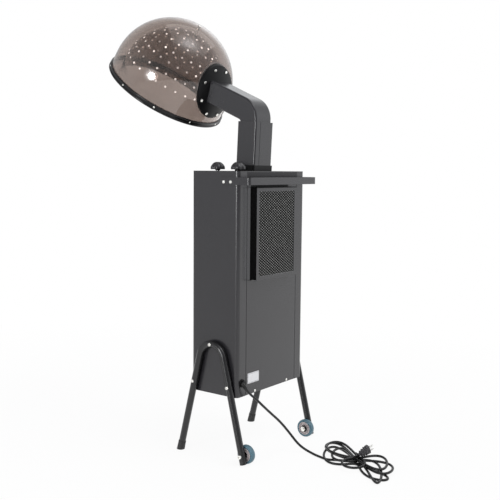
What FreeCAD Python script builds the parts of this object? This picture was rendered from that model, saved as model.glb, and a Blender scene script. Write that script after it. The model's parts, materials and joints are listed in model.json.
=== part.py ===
import FreeCAD, Part
import math
import os

from FreeCAD import Vector

# A salon hair color processor: a warm-air blower in a tall sheet-steel cabinet on two bent
# tube legs, feeding a double-walled smoked dome through a telescopic rectangular duct.
# Units are millimetres. +Z is up, the client sits on the -Y side and the intake filter,
# push handle and power cord are on the +Y side. The origin is on the floor, under the middle
# of the whole machine. Everything is drawn about the middle of the cabinet and moved by
# STAND_SHIFT when it is written out.

# ---- cabinet ---------------------------------------------------------------------------
CABINET_W = 363.0
CABINET_D = 188.0
CABINET_H = 710.0
FLOOR_GAP = 206.0
CORNER_R = 12.5
SHEET = 1.2
BACK_PANEL_W = 276.0
PANEL_GAP = 2.0
TOP_BAND = 20.0
BOTTOM = FLOOR_GAP
TOP = FLOOR_GAP + CABINET_H
HALF_W = CABINET_W / 2
HALF_D = CABINET_D / 2

# ---- intake filter on the back ---------------------------------------------------------
FILTER_X0, FILTER_X1 = -99.0, 121.0
FILTER_Z0, FILTER_Z1 = BOTTOM + 367.0, BOTTOM + 660.0
FILTER_PROUD = 26.0
FILTER_BORDER = 13.0
MESH_PITCH_X, MESH_PITCH_Z = 14.3, 8.85
MESH_WIRE = 1.3

# ---- push handle -----------------------------------------------------------------------
HANDLE_BAR_H = 23.0
HANDLE_BAR_T = 5.0
HANDLE_REACH = 45.4
HANDLE_Z = BOTTOM + 679.5
HANDLE_FRONT_Y = 23.0
HANDLE_BEND_R = 9.0
HANDLE_SCREW_Y = (40.0, 67.0)
HANDLE_SCREW_Z = HANDLE_Z - 3.0

# ---- legs, feet and wheels -------------------------------------------------------------
TUBE_R = 11.1
TUBE_WALL = 1.6
LEG_X = HALF_W + TUBE_R + 0.3
LEG_ARCH_TOP = BOTTOM + 163.0
LEG_ARCH_R = 49.3
LEG_LOW_BOLT_Z = BOTTOM + 34.5
LEG_LOW_BOLT_Y = 70.7
LEG_SPLAY = 0.2507
FOOT_H = 30.0
WHEEL_R = 30.0
WHEEL_W = 20.0
WHEEL_X = 170.0
HUB_R = 22.0
BEARING_R = 11.0
AXLE_R = 4.0

# ---- mast ------------------------------------------------------------------------------
MAST_LEAN = math.radians(2.75)
MAST_W, MAST_D = 94.0, 75.0
MAST_WALL = 2.0
MAST_EDGE_R = 5.5
MAST_Y_AT_TOP = 14.0
MAST_RISE = 159.0
MAST_SUNK = 141.0
COLLAR_H = 20.0
TRAVEL = 200.0
GUIDE_H = 25.0
GLIDE_H = 30.0

# ---- arm -------------------------------------------------------------------------------
ARM_W, ARM_D = 84.0, 64.6
ARM_WALL = 2.0
ARM_HEAD_W, ARM_HEAD_D = 95.0, 74.0
ARM_RISE = math.radians(23.6)
ARM_HEAD_Y, ARM_HEAD_Z = -100.0, BOTTOM + 954.0
ARM_FLARE_Y0, ARM_FLARE_Y1 = -16.0, -150.0
ARM_EDGE_R = 6.0
ARM_OUTER_R = 74.0
ARM_INNER_R = 12.0

# ---- dome ------------------------------------------------------------------------------
DOME_TILT = math.radians(36.15)
DOME_Y, DOME_Z = -375.1, BOTTOM + 982.5
DOME_R = 211.3
DOME_SKIRT = 53.3
DOME_GAP = 33.5
SHELL_T = 3.0
TRIM_R = 4.2
TRIM_FOOT = 4.2
TRIM_LIP_R = 3.2
TRIM_H = 16.0
HOLE_R = 2.6
HOLE_RINGS = ((8.0, 30), (20.0, 30), (32.0, 28), (44.0, 24), (56.0, 18), (68.0, 12), (79.0, 6))
PLATE_R = 83.0
PLATE_T = 7.7
PLATE_HEIGHT = 125.9
PLATE_SCREW_R = 73.2
PLATE_SCREWS = 8
RIM_CLIPS = 10

# ---- controls --------------------------------------------------------------------------
KNOB_R = 24.0
KNOB_H = 28.5
KNOB_X = 112.0
TIMER_Y, HEAT_Y = -45.0, 38.0
KNOB_FLUTES = 6
SHAFT_R = 3.0

# ---- blower and heater -----------------------------------------------------------------
BLOWER_Z = BOTTOM + 128.0
WHEEL_BLADES = 24
IMPELLER_R = 62.0
IMPELLER_W = 60.0
SCROLL_W = 76.0
SHAFT_BLOWER_R = 4.0
MOTOR_R = 42.0
MOTOR_L = 78.0
RUNNING_GAP = 0.05

# ---- power cord ------------------------------------------------------------------------
CORD_D = 8.0
GLAND = Vector(157.0, HALF_D, BOTTOM + 44.0)
CORD_ROUTE = [
    Vector(153.6, 109.8, 232.0), Vector(143.0, 115.0, 216.0), Vector(119.0, 122.0, 196.0),
    Vector(98.0, 131.0, 173.0), Vector(68.0, 141.0, 143.5), Vector(24.0, 152.0, 104.0),
    Vector(-5.0, 169.0, 62.5), Vector(-18.0, 192.0, 29.0), Vector(-30.0, 211.0, 11.5),
    Vector(-31.0, 232.0, 5.0), Vector(-22.0, 257.0, 4.2), Vector(-15.0, 283.0, 4.2),
    Vector(-9.0, 306.0, 4.2),
]
HANK_H = 22.0
PLUG_BASE = Vector(-53.0, 396.0, 24.0)
PLUG_TIP = Vector(-90.2, 415.6, 40.4)

# The rim trim is the foremost point and the wheels the rearmost.
AXLE_Z = WHEEL_R
AXLE_Y = LEG_LOW_BOLT_Y + LEG_SPLAY * (LEG_LOW_BOLT_Z - AXLE_Z)
FRONT_REACH = (DOME_Y - (DOME_R + 1.6) * math.cos(DOME_TILT) + TRIM_FOOT * math.sin(DOME_TILT)
               - TRIM_R)
REAR_REACH = AXLE_Y + WHEEL_R
STAND_SHIFT = Vector(0.0, -(FRONT_REACH + REAR_REACH) / 2, 0.0)

X, Y, Z = Vector(1, 0, 0), Vector(0, 1, 0), Vector(0, 0, 1)


# ---- small helpers ---------------------------------------------------------------------
def block(x0, x1, y0, y1, z0, z1):
    return Part.makeBox(x1 - x0, y1 - y0, z1 - z0, Vector(x0, y0, z0))


def rod(start, axis, radius, length):
    return Part.makeCylinder(radius, length, start, axis)


def ring(start, axis, outer, inner, length):
    return rod(start, axis, outer, length).cut(rod(start, axis, inner, length))


def round_rim(drum, seat, axis, radius):
    """Round the rim of a drum at the end that lies furthest along an axis."""
    circles = [e for e in drum.Edges if e.Curve.TypeId == "Part::GeomCircle"]
    rim = max(circles, key=lambda e: (e.Curve.Center - seat).dot(axis))
    return drum.makeFillet(radius, [rim])


def fuse(shapes):
    return shapes[0].multiFuse(shapes[1:]).removeSplitter()


def mirrored(shape):
    return shape.mirror(Vector(0, 0, 0), X)


def turned(shape, centre, axis, degrees):
    return shape.rotated(centre, axis, degrees)


def rounded_rect(width, depth, radius, z, centre_y=0.0):
    """Closed wire of a rounded rectangle in a level plane."""
    w, d, r = width / 2, depth / 2, radius
    corners = [(w - r, d - r, 0), (-w + r, d - r, 90), (-w + r, -d + r, 180), (w - r, -d + r, 270)]
    arcs = [
        Part.makeCircle(r, Vector(x, y + centre_y, z), Z, turn, turn + 90)
        for x, y, turn in corners
    ]
    edges = []
    for i, arc in enumerate(arcs):
        edges.append(arc)
        edges.append(Part.makeLine(arc.lastVertex().Point, arcs[(i + 1) % 4].firstVertex().Point))
    return Part.Wire(edges)


def rounded_prism(width, depth, radius, z0, z1, centre_y=0.0):
    face = Part.Face(rounded_rect(width, depth, radius, z0, centre_y))
    return face.extrude(Z * (z1 - z0))


def pan_head(seat, axis, radius, height):
    """A screw head seated at a point: a short drum with a rounded edge and a cross slot."""
    head = round_rim(rod(seat, axis, radius, height), seat, axis, height * 0.55)
    across = axis.cross(Z)
    across = X if across.Length < 0.1 else across.normalize()
    other = axis.cross(across).normalize()
    slots = []
    for one, two in ((across, other), (other, across)):
        start = seat + axis * (height * 0.55) - one * (radius * 0.6) - two * (radius * 0.11)
        base = Part.makePolygon([
            start, start + one * (radius * 1.2), start + one * (radius * 1.2) + two * (radius * 0.22),
            start + two * (radius * 0.22), start])
        slots.append(Part.Face(base).extrude(axis * height))
    return head.cut(slots[0].fuse(slots[1]))


def screw(seat, axis, head_r, head_h, shank_r, shank_l):
    return pan_head(seat, axis, head_r, head_h).fuse(
        rod(seat - axis * shank_l, axis, shank_r, shank_l))


def hexagon_nut(seat, axis, flat_r, thickness, bore_r):
    across = axis.cross(Z)
    across = X if across.Length < 0.1 else across.normalize()
    other = axis.cross(across)
    corners = [
        seat + across * (flat_r / math.cos(math.pi / 6) * math.cos(math.radians(60 * i)))
        + other * (flat_r / math.cos(math.pi / 6) * math.sin(math.radians(60 * i)))
        for i in range(7)
    ]
    return Part.Face(Part.makePolygon(corners)).extrude(axis * thickness).cut(
        rod(seat, axis, bore_r, thickness))


def save(name, shape):
    """Write one node in the machine's own frame."""
    moved = shape.copy()
    moved.translate(STAND_SHIFT)
    moved.exportStep("parts/" + name + ".step")


# ---- cabinet ---------------------------------------------------------------------------
def cabinet_wrap():
    """Front and sides bent from one sheet, with flanges turned in at the back and screw lips."""
    outer = rounded_prism(CABINET_W, CABINET_D, CORNER_R, BOTTOM, TOP)
    inner = rounded_prism(CABINET_W - 2 * SHEET, CABINET_D - 2 * SHEET, CORNER_R - SHEET,
                          BOTTOM - 1, TOP + 1)
    half_panel = BACK_PANEL_W / 2
    wrap = outer.cut(inner).cut(
        block(-half_panel, half_panel, HALF_D - SHEET - 1, HALF_D + 1, BOTTOM - 1, TOP + 1))
    lip_y = HALF_D - SHEET
    for side in (1, -1):
        x0, x1 = sorted((side * (half_panel - 12), side * (half_panel + 10)))
        wrap = wrap.fuse(block(x0, x1, lip_y - SHEET, lip_y, BOTTOM + 28, TOP - 26))
    holes = [rod(Vector(-HALF_W - 2, y, z), X, 3.2, CABINET_W + 4) for y, z in leg_bolt_places()]
    holes += [rod(Vector(-HALF_W - 2, y, HANDLE_SCREW_Z), X, 2.2, CABINET_W + 4)
              for y in HANDLE_SCREW_Y]
    holes.append(rod(GLAND - Y * 4, Y, 8.2, 8))
    return wrap.cut(Part.makeCompound(holes)).removeSplitter()


def back_panel():
    """Flat panel between the flanges, with the air window behind the filter."""
    half = BACK_PANEL_W / 2 - PANEL_GAP
    panel = block(-half, half, HALF_D - SHEET, HALF_D, BOTTOM + 0.5, TOP - TOP_BAND - 0.5)
    window = block(FILTER_X0 + 16, FILTER_X1 - 22, HALF_D - 5, HALF_D + 5,
                   FILTER_Z0 + 16, FILTER_Z1 - 16)
    screws = [rod(Vector(x, HALF_D - 5, BOTTOM + 7), Y, 2.2, 10) for x in (-89, 89)]
    return panel.cut(Part.makeCompound([window] + screws))


def top_plate():
    """Lid pressed inside the wrap, with a skirt and a rear band that closes the back's top."""
    gap = SHEET + 0.1
    lid = rounded_prism(CABINET_W - 2 * gap, CABINET_D - 2 * gap, CORNER_R - gap, TOP - 18, TOP)
    lid = lid.cut(rounded_prism(CABINET_W - 2 * gap - 2 * SHEET, CABINET_D - 2 * gap - 2 * SHEET,
                                CORNER_R - gap - SHEET, TOP - 19, TOP - SHEET))
    half = BACK_PANEL_W / 2 - 0.4
    lid = lid.cut(block(-half, half, HALF_D - 6, HALF_D, TOP - 19, TOP - SHEET))
    band = block(-half, half, HALF_D - SHEET, HALF_D, TOP - TOP_BAND, TOP)
    bridge = block(-half, half, HALF_D - 8, HALF_D, TOP - SHEET, TOP)
    lid = fuse([lid, band, bridge])
    cuts = [mast_prism(MAST_W + 0.6, MAST_D + 0.6, MAST_EDGE_R + 0.3, TOP - 30, TOP + 5)]
    cuts += [rod(Vector(KNOB_X, y, TOP - 5), Z, 4.6, 10) for y in (TIMER_Y, HEAT_Y)]
    return lid.cut(Part.makeCompound(cuts))


def base_pan():
    """Bottom closing pan with its rim turned up inside the wrap and a grid of cooling slots."""
    gap = SHEET + 0.1
    pan = rounded_prism(CABINET_W - 2 * gap, CABINET_D - 2 * gap, CORNER_R - gap,
                        BOTTOM, BOTTOM + 26)
    pan = pan.cut(rounded_prism(CABINET_W - 2 * gap - 2 * SHEET, CABINET_D - 2 * gap - 2 * SHEET,
                                CORNER_R - gap - SHEET, BOTTOM + SHEET, BOTTOM + 27))
    slots = [block(-120 + 16 * i, -112 + 16 * i, -55, -15, BOTTOM - 1, BOTTOM + 3)
             for i in range(16)]
    screws = [rod(Vector(x, HALF_D - 6, BOTTOM + 7), Y, 1.7, 8) for x in (-89, 89)]
    return pan.cut(Part.makeCompound(slots + screws))


def panel_screws():
    return Part.makeCompound([
        screw(Vector(x, HALF_D, BOTTOM + 7), Y, 4.2, 2.2, 1.65, 4.0) for x in (-89, 89)])


def rating_plate():
    plate = block(68, 128, HALF_D, HALF_D + 0.8, BOTTOM + 36, BOTTOM + 69)
    corners = [e for e in plate.Edges if abs(e.tangentAt(e.FirstParameter).y) > 0.9]
    return plate.makeFillet(2.0, corners)


def push_handle():
    """Flat bar bent round the back, standing clear of the panel as a hand grip."""
    z0, z1 = HANDLE_Z - HANDLE_BAR_H / 2, HANDLE_Z + HANDLE_BAR_H / 2
    half_out = HALF_W + HANDLE_BAR_T
    y_out = HALF_D + HANDLE_REACH
    y_in = y_out - HANDLE_BAR_T

    def u_shape(half, y_back, radius, z, height):
        depth = y_back - HANDLE_FRONT_Y
        body = rounded_prism(2 * half, 2 * depth, radius, z, z + height, HANDLE_FRONT_Y)
        return body.cut(block(-half - 1, half + 1, HANDLE_FRONT_Y - depth - 1, HANDLE_FRONT_Y,
                              z - 1, z + height + 1))

    bar = u_shape(half_out, y_out, HANDLE_BEND_R, z0, z1 - z0).cut(
        u_shape(HALF_W, y_in, HANDLE_BEND_R - HANDLE_BAR_T, z0 - 1, z1 - z0 + 2))
    holes = [rod(Vector(-half_out - 1, y, HANDLE_SCREW_Z), X, 2.2, 2 * half_out + 2)
             for y in HANDLE_SCREW_Y]
    return bar.cut(Part.makeCompound(holes))


def handle_screws():
    right = [screw(Vector(HALF_W + HANDLE_BAR_T, y, HANDLE_SCREW_Z), X, 5.0, 2.4, 1.95, 9.0)
             for y in HANDLE_SCREW_Y]
    nuts = [hexagon_nut(Vector(HALF_W - SHEET, y, HANDLE_SCREW_Z), -X, 3.5, 2.6, 1.95)
            for y in HANDLE_SCREW_Y]
    group = right + nuts
    return Part.makeCompound(group + [mirrored(s) for s in group])


# ---- intake filter ---------------------------------------------------------------------
def filter_frame():
    """Shallow tray on the back panel, open at the +X end where the filter slides in."""
    y0, y1 = HALF_D, HALF_D + FILTER_PROUD
    tray = block(FILTER_X0, FILTER_X1, y0, y1, FILTER_Z0, FILTER_Z1)
    tray = tray.cut(block(FILTER_X0 + SHEET, FILTER_X1 + 1, y0 - 1, y1 - SHEET,
                          FILTER_Z0 + SHEET, FILTER_Z1 - SHEET))
    b = FILTER_BORDER
    return tray.cut(block(FILTER_X0 + b, FILTER_X1 - b, y1 - 5, y1 + 1,
                          FILTER_Z0 + b, FILTER_Z1 - b))


def filter_mesh():
    """Diamond-mesh sheet behind the frame's window: two crossing sets of flat strands."""
    y1 = HALF_D + FILTER_PROUD - SHEET
    x0, x1 = FILTER_X0 + 4, FILTER_X1 - 4
    z0, z1 = FILTER_Z0 + 4, FILTER_Z1 - 4
    outline = Part.makePolygon([Vector(x0, y1, z0), Vector(x1, y1, z0), Vector(x1, y1, z1),
                                Vector(x0, y1, z1), Vector(x0, y1, z0)])
    half_x = MESH_PITCH_X / 2 - MESH_WIRE * 1.1
    half_z = MESH_PITCH_Z / 2 - MESH_WIRE * 0.7
    margin = FILTER_BORDER - 4
    columns = int((x1 - x0 - 2 * margin) / MESH_PITCH_X)
    rows = int((z1 - z0 - 2 * margin) / MESH_PITCH_Z)
    cx, cz = (x0 + x1) / 2, (z0 + z1) / 2
    diamonds = []
    for shift in (0.0, 0.5):
        count_x, count_z = columns + 1 - round(2 * shift), rows + 1 - round(2 * shift)
        for i in range(count_x):
            for j in range(count_z):
                x = cx + (i - (count_x - 1) / 2) * MESH_PITCH_X
                z = cz + (j - (count_z - 1) / 2) * MESH_PITCH_Z
                diamonds.append(Part.makePolygon([
                    Vector(x - half_x, y1, z), Vector(x, y1, z - half_z), Vector(x + half_x, y1, z),
                    Vector(x, y1, z + half_z), Vector(x - half_x, y1, z)]))
    return Part.makeFace([outline] + diamonds, "Part::FaceMakerBullseye").extrude(-Y * 1.2)


def filter_pad():
    """Open-cell foam block that slides out of the tray towards +X."""
    return block(FILTER_X0 + 2.0, FILTER_X1, HALF_D + 0.4, HALF_D + FILTER_PROUD - 3.0,
                 FILTER_Z0 + 1.8, FILTER_Z1 - 1.8)


# ---- legs, feet and wheels -------------------------------------------------------------
def leg_bolt_places():
    return [(0.0, LEG_ARCH_TOP), (-LEG_LOW_BOLT_Y, LEG_LOW_BOLT_Z), (LEG_LOW_BOLT_Y, LEG_LOW_BOLT_Z)]


def leg_axis(rear):
    """Unit vector down one leg."""
    return Vector(0, LEG_SPLAY if rear else -LEG_SPLAY, -1).normalize()


def leg_point(z, rear):
    y = LEG_LOW_BOLT_Y + LEG_SPLAY * (LEG_LOW_BOLT_Z - z)
    return Vector(LEG_X, y if rear else -y, z)


def leg_tube():
    """Round tube bent to an upturned U: straight leg, top bend, straight leg."""
    slope = math.atan(LEG_SPLAY)
    centre_z = LEG_ARCH_TOP - LEG_ARCH_R
    tangent_z = centre_z + LEG_ARCH_R * math.sin(slope)
    tangent_y = LEG_ARCH_R * math.cos(slope)
    front_end, rear_end = leg_point(14.0, False), leg_point(6.0, True)
    left = Vector(LEG_X, -tangent_y, tangent_z)
    right = Vector(LEG_X, tangent_y, tangent_z)
    crown = Vector(LEG_X, 0, LEG_ARCH_TOP)
    path = Part.Wire([
        Part.LineSegment(front_end, left).toShape(), Part.Arc(left, crown, right).toShape(),
        Part.LineSegment(right, rear_end).toShape()])
    start_dir = (left - front_end).normalize()

    def pipe(radius):
        profile = Part.Wire([Part.makeCircle(radius, front_end, start_dir)])
        return path.makePipeShell([profile], True, False)

    tube = pipe(TUBE_R).cut(pipe(TUBE_R - TUBE_WALL))
    holes = [rod(Vector(LEG_X - 20, y, z), X, 3.2, 40) for y, z in leg_bolt_places()]
    holes.append(rod(Vector(LEG_X - 20, AXLE_Y, AXLE_Z), X, AXLE_R + 0.02, 40))
    return tube.cut(Part.makeCompound(holes))


def leg_bolts():
    """Bolts through tube and cabinet side, each with a nut inside."""
    group = []
    for y, z in leg_bolt_places():
        group.append(screw(Vector(LEG_X + TUBE_R, y, z), X, 5.4, 3.4, 3.0, 2 * TUBE_R + 9))
        group.append(hexagon_nut(Vector(HALF_W - SHEET, y, z), -X, 5.0, 4.8, 3.0))
    return Part.makeCompound(group + [mirrored(s) for s in group])


def rubber_feet():
    """Flared tips pushed over the ends of the front legs and cut level with the floor."""
    axis = leg_axis(False)
    top = leg_point(FOOT_H, False)
    slope = math.atan(LEG_SPLAY)
    length = FOOT_H / math.cos(slope) + 6
    outline = [(TUBE_R, 0), (TUBE_R + 0.8, 0), (TUBE_R + 1.3, 3), (TUBE_R + 1.3, 14),
               (TUBE_R + 1.8, length - 9), (TUBE_R + 2.0, length)]
    points = [Vector(r, 0, -h) for r, h in outline] + [Vector(0, 0, -length)]
    floor_of_socket = (FOOT_H - 14.0) / math.cos(slope)
    points += [Vector(0, 0, -floor_of_socket), Vector(TUBE_R, 0, -floor_of_socket), points[0]]
    body = Part.Face(Part.makePolygon(points)).revolve(Vector(0, 0, 0), Z, 360)
    placed = FreeCAD.Placement(top, FreeCAD.Rotation(-Z, axis))
    body.Placement = placed
    body = body.cut(block(LEG_X - 60, LEG_X + 60, -220, 0, -60, 0))
    return Part.makeCompound([body, mirrored(body)])


def leg_plugs():
    """Domed plastic plugs in the rear ends of the leg tubes."""
    axis = leg_axis(True)
    end = leg_point(6.0, True)
    stem = rod(end - axis * 9, axis, TUBE_R - TUBE_WALL, 9)
    cap = round_rim(rod(end, axis, TUBE_R, 2.2), end, axis, 1.4)
    whole = stem.fuse(cap)
    return Part.makeCompound([whole, mirrored(whole)])


def wheel_tyre():
    """Soft tread ring with rounded shoulders, pressed on the hub."""
    w = WHEEL_W / 2
    tread = rod(Vector(WHEEL_X - w, AXLE_Y, AXLE_Z), X, WHEEL_R, WHEEL_W)
    shoulders = [e for e in tread.Edges if e.Curve.TypeId == "Part::GeomCircle"]
    tread = tread.makeFillet(4.0, shoulders)
    return tread.cut(rod(Vector(WHEEL_X - w - 1, AXLE_Y, AXLE_Z), X, HUB_R, WHEEL_W + 2))


def wheel_hub():
    """Plastic disc with a stepped web on both faces and a seat for the bearing."""
    centre = Vector(WHEEL_X, AXLE_Y, AXLE_Z)
    w = WHEEL_W / 2 - 0.6
    hub = rod(centre - X * w, X, HUB_R, 2 * w)
    for side in (1, -1):
        start = centre + X * (side * w)
        hub = hub.cut(ring(start - X * (side * 2.4), X * side, HUB_R - 3, BEARING_R + 3.2, 4))
    return hub.cut(rod(centre - X * 20, X, BEARING_R, 40))


def wheel_bearing():
    """Sealed bearing pressed in the hub, turning on the axle bolt."""
    start = Vector(WHEEL_X - WHEEL_W / 2, AXLE_Y, AXLE_Z)
    return ring(start, X, BEARING_R, AXLE_R + RUNNING_GAP, WHEEL_W)


def axle_bolts():
    """Bolt through the tube end and the wheel, with its washer, spacer and locking nut."""
    centre = Vector(LEG_X, AXLE_Y, AXLE_Z)
    outer = centre + X * TUBE_R
    inner_end = WHEEL_X - WHEEL_W / 2 - 12
    bolt = screw(outer, X, 6.6, 4.6, AXLE_R, outer.x - inner_end)
    nut = hexagon_nut(Vector(WHEEL_X - WHEEL_W / 2 - 1.9, AXLE_Y, AXLE_Z), -X, 7.5, 6.5, AXLE_R)
    group = [bolt, nut]
    return Part.makeCompound(group + [mirrored(s) for s in group])


def axle_washers():
    """Steel washers each side of the wheel that keep it off the tube and the nut."""
    w = WHEEL_W / 2
    gap_out = LEG_X - TUBE_R - (WHEEL_X + w)
    group = [
        ring(Vector(WHEEL_X + w + 0.3, AXLE_Y, AXLE_Z), X, 8.5, AXLE_R, gap_out - 0.3),
        ring(Vector(WHEEL_X - w - 0.3, AXLE_Y, AXLE_Z), -X, 11.5, AXLE_R, 1.6),
    ]
    return Part.makeCompound(group + [mirrored(s) for s in group])


# ---- mast ------------------------------------------------------------------------------
def mast_direction():
    return Vector(0, math.sin(MAST_LEAN), math.cos(MAST_LEAN))


def mast_point(z, forward=0.0):
    """Point on the mast's axis at height z, moved forward at right angles to it."""
    along = (z - TOP) / math.cos(MAST_LEAN)
    return Vector(0, MAST_Y_AT_TOP, TOP) + mast_direction() * along + Vector(
        0, -math.cos(MAST_LEAN), math.sin(MAST_LEAN)) * forward


def mast_prism(width, depth, radius, z0, z1):
    """Leaning rectangular prism between two heights on the mast's axis."""
    length = (z1 - z0) / math.cos(MAST_LEAN)
    prism = rounded_prism(width, depth, radius, 0, length)
    prism.Placement = FreeCAD.Placement(mast_point(z0), FreeCAD.Rotation(Z, mast_direction()))
    return prism


def mast_sleeve():
    """Folded sheet sleeve, sunk in the cabinet, with a lapped seam up its back."""
    z0, z1 = TOP - MAST_SUNK, TOP + MAST_RISE
    inside_r = MAST_EDGE_R - MAST_WALL
    sleeve = mast_prism(MAST_W, MAST_D, MAST_EDGE_R, z0, z1).cut(
        mast_prism(MAST_W - 2 * MAST_WALL, MAST_D - 2 * MAST_WALL, inside_r, z0 - 5, z1 + 5))
    length = (z1 - z0 + 10) / math.cos(MAST_LEAN)
    seam = Part.makeBox(1.6, 1.0, length, Vector(22, MAST_D / 2 - 0.8, -5))
    seam.Placement = FreeCAD.Placement(mast_point(z0), FreeCAD.Rotation(Z, mast_direction()))
    pin_hole = rod(mast_point(z0 + 6) - X * 60, X, 3.02, 120)
    return sleeve.cut(seam).cut(pin_hole)


def stop_pin():
    """Cross pin low in the sleeve that the arm tube rests on when it is right down."""
    centre = mast_point(TOP - MAST_SUNK + 6)
    half = MAST_W / 2 + 2
    return rod(centre - X * half, X, 3.0, 2 * half)


def mast_collar():
    """Moulded collar where the sleeve leaves the cabinet top."""
    z1 = TOP + COLLAR_H
    collar = mast_prism(MAST_W + 8, MAST_D + 4, 4.0, TOP - 5, z1)
    collar = collar.cut(mast_prism(MAST_W + 0.2, MAST_D + 0.2, MAST_EDGE_R + 0.1, TOP - 10, z1 + 5))
    return collar.cut(block(-90, 90, -60, 90, TOP - 20, TOP))


def upper_guide():
    """Nylon liner fixed just inside the mouth of the sleeve, clear of the arm's bend."""
    z1 = TOP + MAST_RISE - 4.5
    z0 = z1 - GUIDE_H
    liner = mast_prism(MAST_W - 2 * MAST_WALL, MAST_D - 2 * MAST_WALL, MAST_EDGE_R - MAST_WALL, z0, z1)
    return liner.cut(mast_prism(ARM_W + 0.4, ARM_D + 0.4, ARM_EDGE_R + 0.2, z0 - 5, z1 + 5))


def arm_foot_z():
    return TOP - MAST_SUNK + 9.4


def lower_glide():
    """Nylon glide riveted round the foot of the arm tube."""
    z0 = arm_foot_z()
    glide = mast_prism(MAST_W - 2 * MAST_WALL - 0.5, MAST_D - 2 * MAST_WALL - 0.5,
                       MAST_EDGE_R - MAST_WALL, z0, z0 + GLIDE_H)
    return glide.cut(mast_prism(ARM_W, ARM_D, ARM_EDGE_R, z0 - 5, z0 + GLIDE_H + 5))


# ---- arm -------------------------------------------------------------------------------
def arm_outline(inset, front_reach, foot_z):
    """Side outline of the bent duct: leaning tube, rounded bend and rising head."""
    up = mast_direction()
    back = Vector(0, math.cos(MAST_LEAN), -math.sin(MAST_LEAN))
    head = Vector(0, -math.cos(ARM_RISE), math.sin(ARM_RISE))
    over = Vector(0, math.sin(ARM_RISE), math.cos(ARM_RISE))
    tube_half, head_half = ARM_D / 2 - inset, ARM_HEAD_D / 2 - inset
    head_mid = Vector(0, ARM_HEAD_Y, ARM_HEAD_Z)

    def meet(point, along, other, other_along):
        """Where two lines in the side plane cross."""
        d = other - point
        det = along.y * -other_along.z + along.z * other_along.y
        t = (d.y * -other_along.z + d.z * other_along.y) / det
        return point + along * t

    axis_foot = mast_point(foot_z)
    rear, front = axis_foot + back * tube_half, axis_foot - back * tube_half
    top, under = head_mid + over * head_half, head_mid - over * head_half
    rear_corner = meet(rear, up, top, head)
    front_corner = meet(front, up, under, head)
    corners = [rear, rear_corner, top + head * front_reach, under + head * front_reach,
               front_corner, front]
    radii = {1: ARM_OUTER_R - inset, 4: ARM_INNER_R + inset}
    points = []
    edges = []
    for i, corner in enumerate(corners):
        if i in radii:
            before = (corners[i - 1] - corner).normalize()
            after = (corners[(i + 1) % 6] - corner).normalize()
            half = before.getAngle(after) / 2
            reach = radii[i] / math.tan(half)
            middle = corner + (before + after).normalize() * (radii[i] / math.sin(half) - radii[i])
            points.append((corner + before * reach, middle, corner + after * reach))
        else:
            points.append((corner, None, corner))
    for i, (_, middle, end) in enumerate(points):
        start = points[i][0]
        if middle is not None:
            edges.append(Part.Arc(start, middle, end).toShape())
        edges.append(Part.makeLine(end, points[(i + 1) % 6][0]))
    return Part.Wire(edges)


def arm_plan(inset):
    """Top outline of the duct: parallel sides in the sleeve, flaring gently towards the dome."""
    half = ARM_W / 2 - inset
    flare_r = (ARM_FLARE_Y0 - ARM_FLARE_Y1) ** 2 / (ARM_HEAD_W - ARM_W)

    def flared(y):
        return half + flare_r - math.sqrt(flare_r ** 2 - (y - ARM_FLARE_Y0) ** 2)

    back, front = 90.0, -230.0
    middle = (ARM_FLARE_Y0 + front) / 2
    right = [Vector(half, ARM_FLARE_Y0, 0), Vector(flared(middle), middle, 0),
             Vector(flared(front), front, 0)]
    left = [Vector(-p.x, p.y, 0) for p in right]
    corners = [left[0], Vector(-half, back, 0), Vector(half, back, 0), right[0]]
    edges = [Part.makeLine(a, b) for a, b in zip(corners, corners[1:])]
    edges.append(Part.Arc(*right).toShape())
    edges.append(Part.makeLine(right[2], left[2]))
    edges.append(Part.Arc(*reversed(left)).toShape())
    return Part.Face(Part.Wire(edges))


def arm_solid(inset, front_reach, foot_z, edge_r):
    wire = arm_outline(inset, front_reach, foot_z)
    wire.translate(X * -100)
    body = Part.Face(wire).extrude(X * 200)
    body = body.common(arm_plan(inset).extrude(Z * 1500))
    return body.makeFillet(edge_r, [e for e in body.Edges if is_long_edge(e)])


def is_long_edge(edge):
    """True for the edges that run along the duct, not round its ends or across its sides."""
    if min(abs(v.X) for v in edge.Vertexes) < 20 or edge.Vertexes[0].X * edge.Vertexes[-1].X < 0:
        return False
    if edge.Curve.TypeId != "Part::GeomLine":
        along = edge.Vertexes[-1].Point - edge.Vertexes[0].Point
    else:
        along = edge.tangentAt(edge.FirstParameter)
    along = along.normalize()
    head = Vector(0, -math.cos(ARM_RISE), math.sin(ARM_RISE))
    crosses_tube = abs(along.dot(mast_direction())) < 0.08
    crosses_head = abs(along.dot(head)) < 0.08
    return not (crosses_tube or crosses_head or abs(along.z) > 0.9995)


def arm_duct():
    """Bent rectangular duct from inside the sleeve to the back plate of the dome."""
    foot = arm_foot_z()
    outer = arm_solid(0.0, 75.0, foot, ARM_EDGE_R)
    inner = arm_solid(ARM_WALL, 80.0, foot - 6, ARM_EDGE_R - ARM_WALL)
    return outer.cut(inner).cut(dome_body(PLATE_T + 0.3))


# ---- dome ------------------------------------------------------------------------------
def dome_out():
    """Unit vector out of the crown of the dome."""
    return Vector(0, math.sin(DOME_TILT), math.cos(DOME_TILT))


def dome_place(shape):
    shape.Placement = FreeCAD.Placement(
        Vector(0, DOME_Y, DOME_Z), FreeCAD.Rotation(X, -math.degrees(DOME_TILT)))
    return shape


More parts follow.
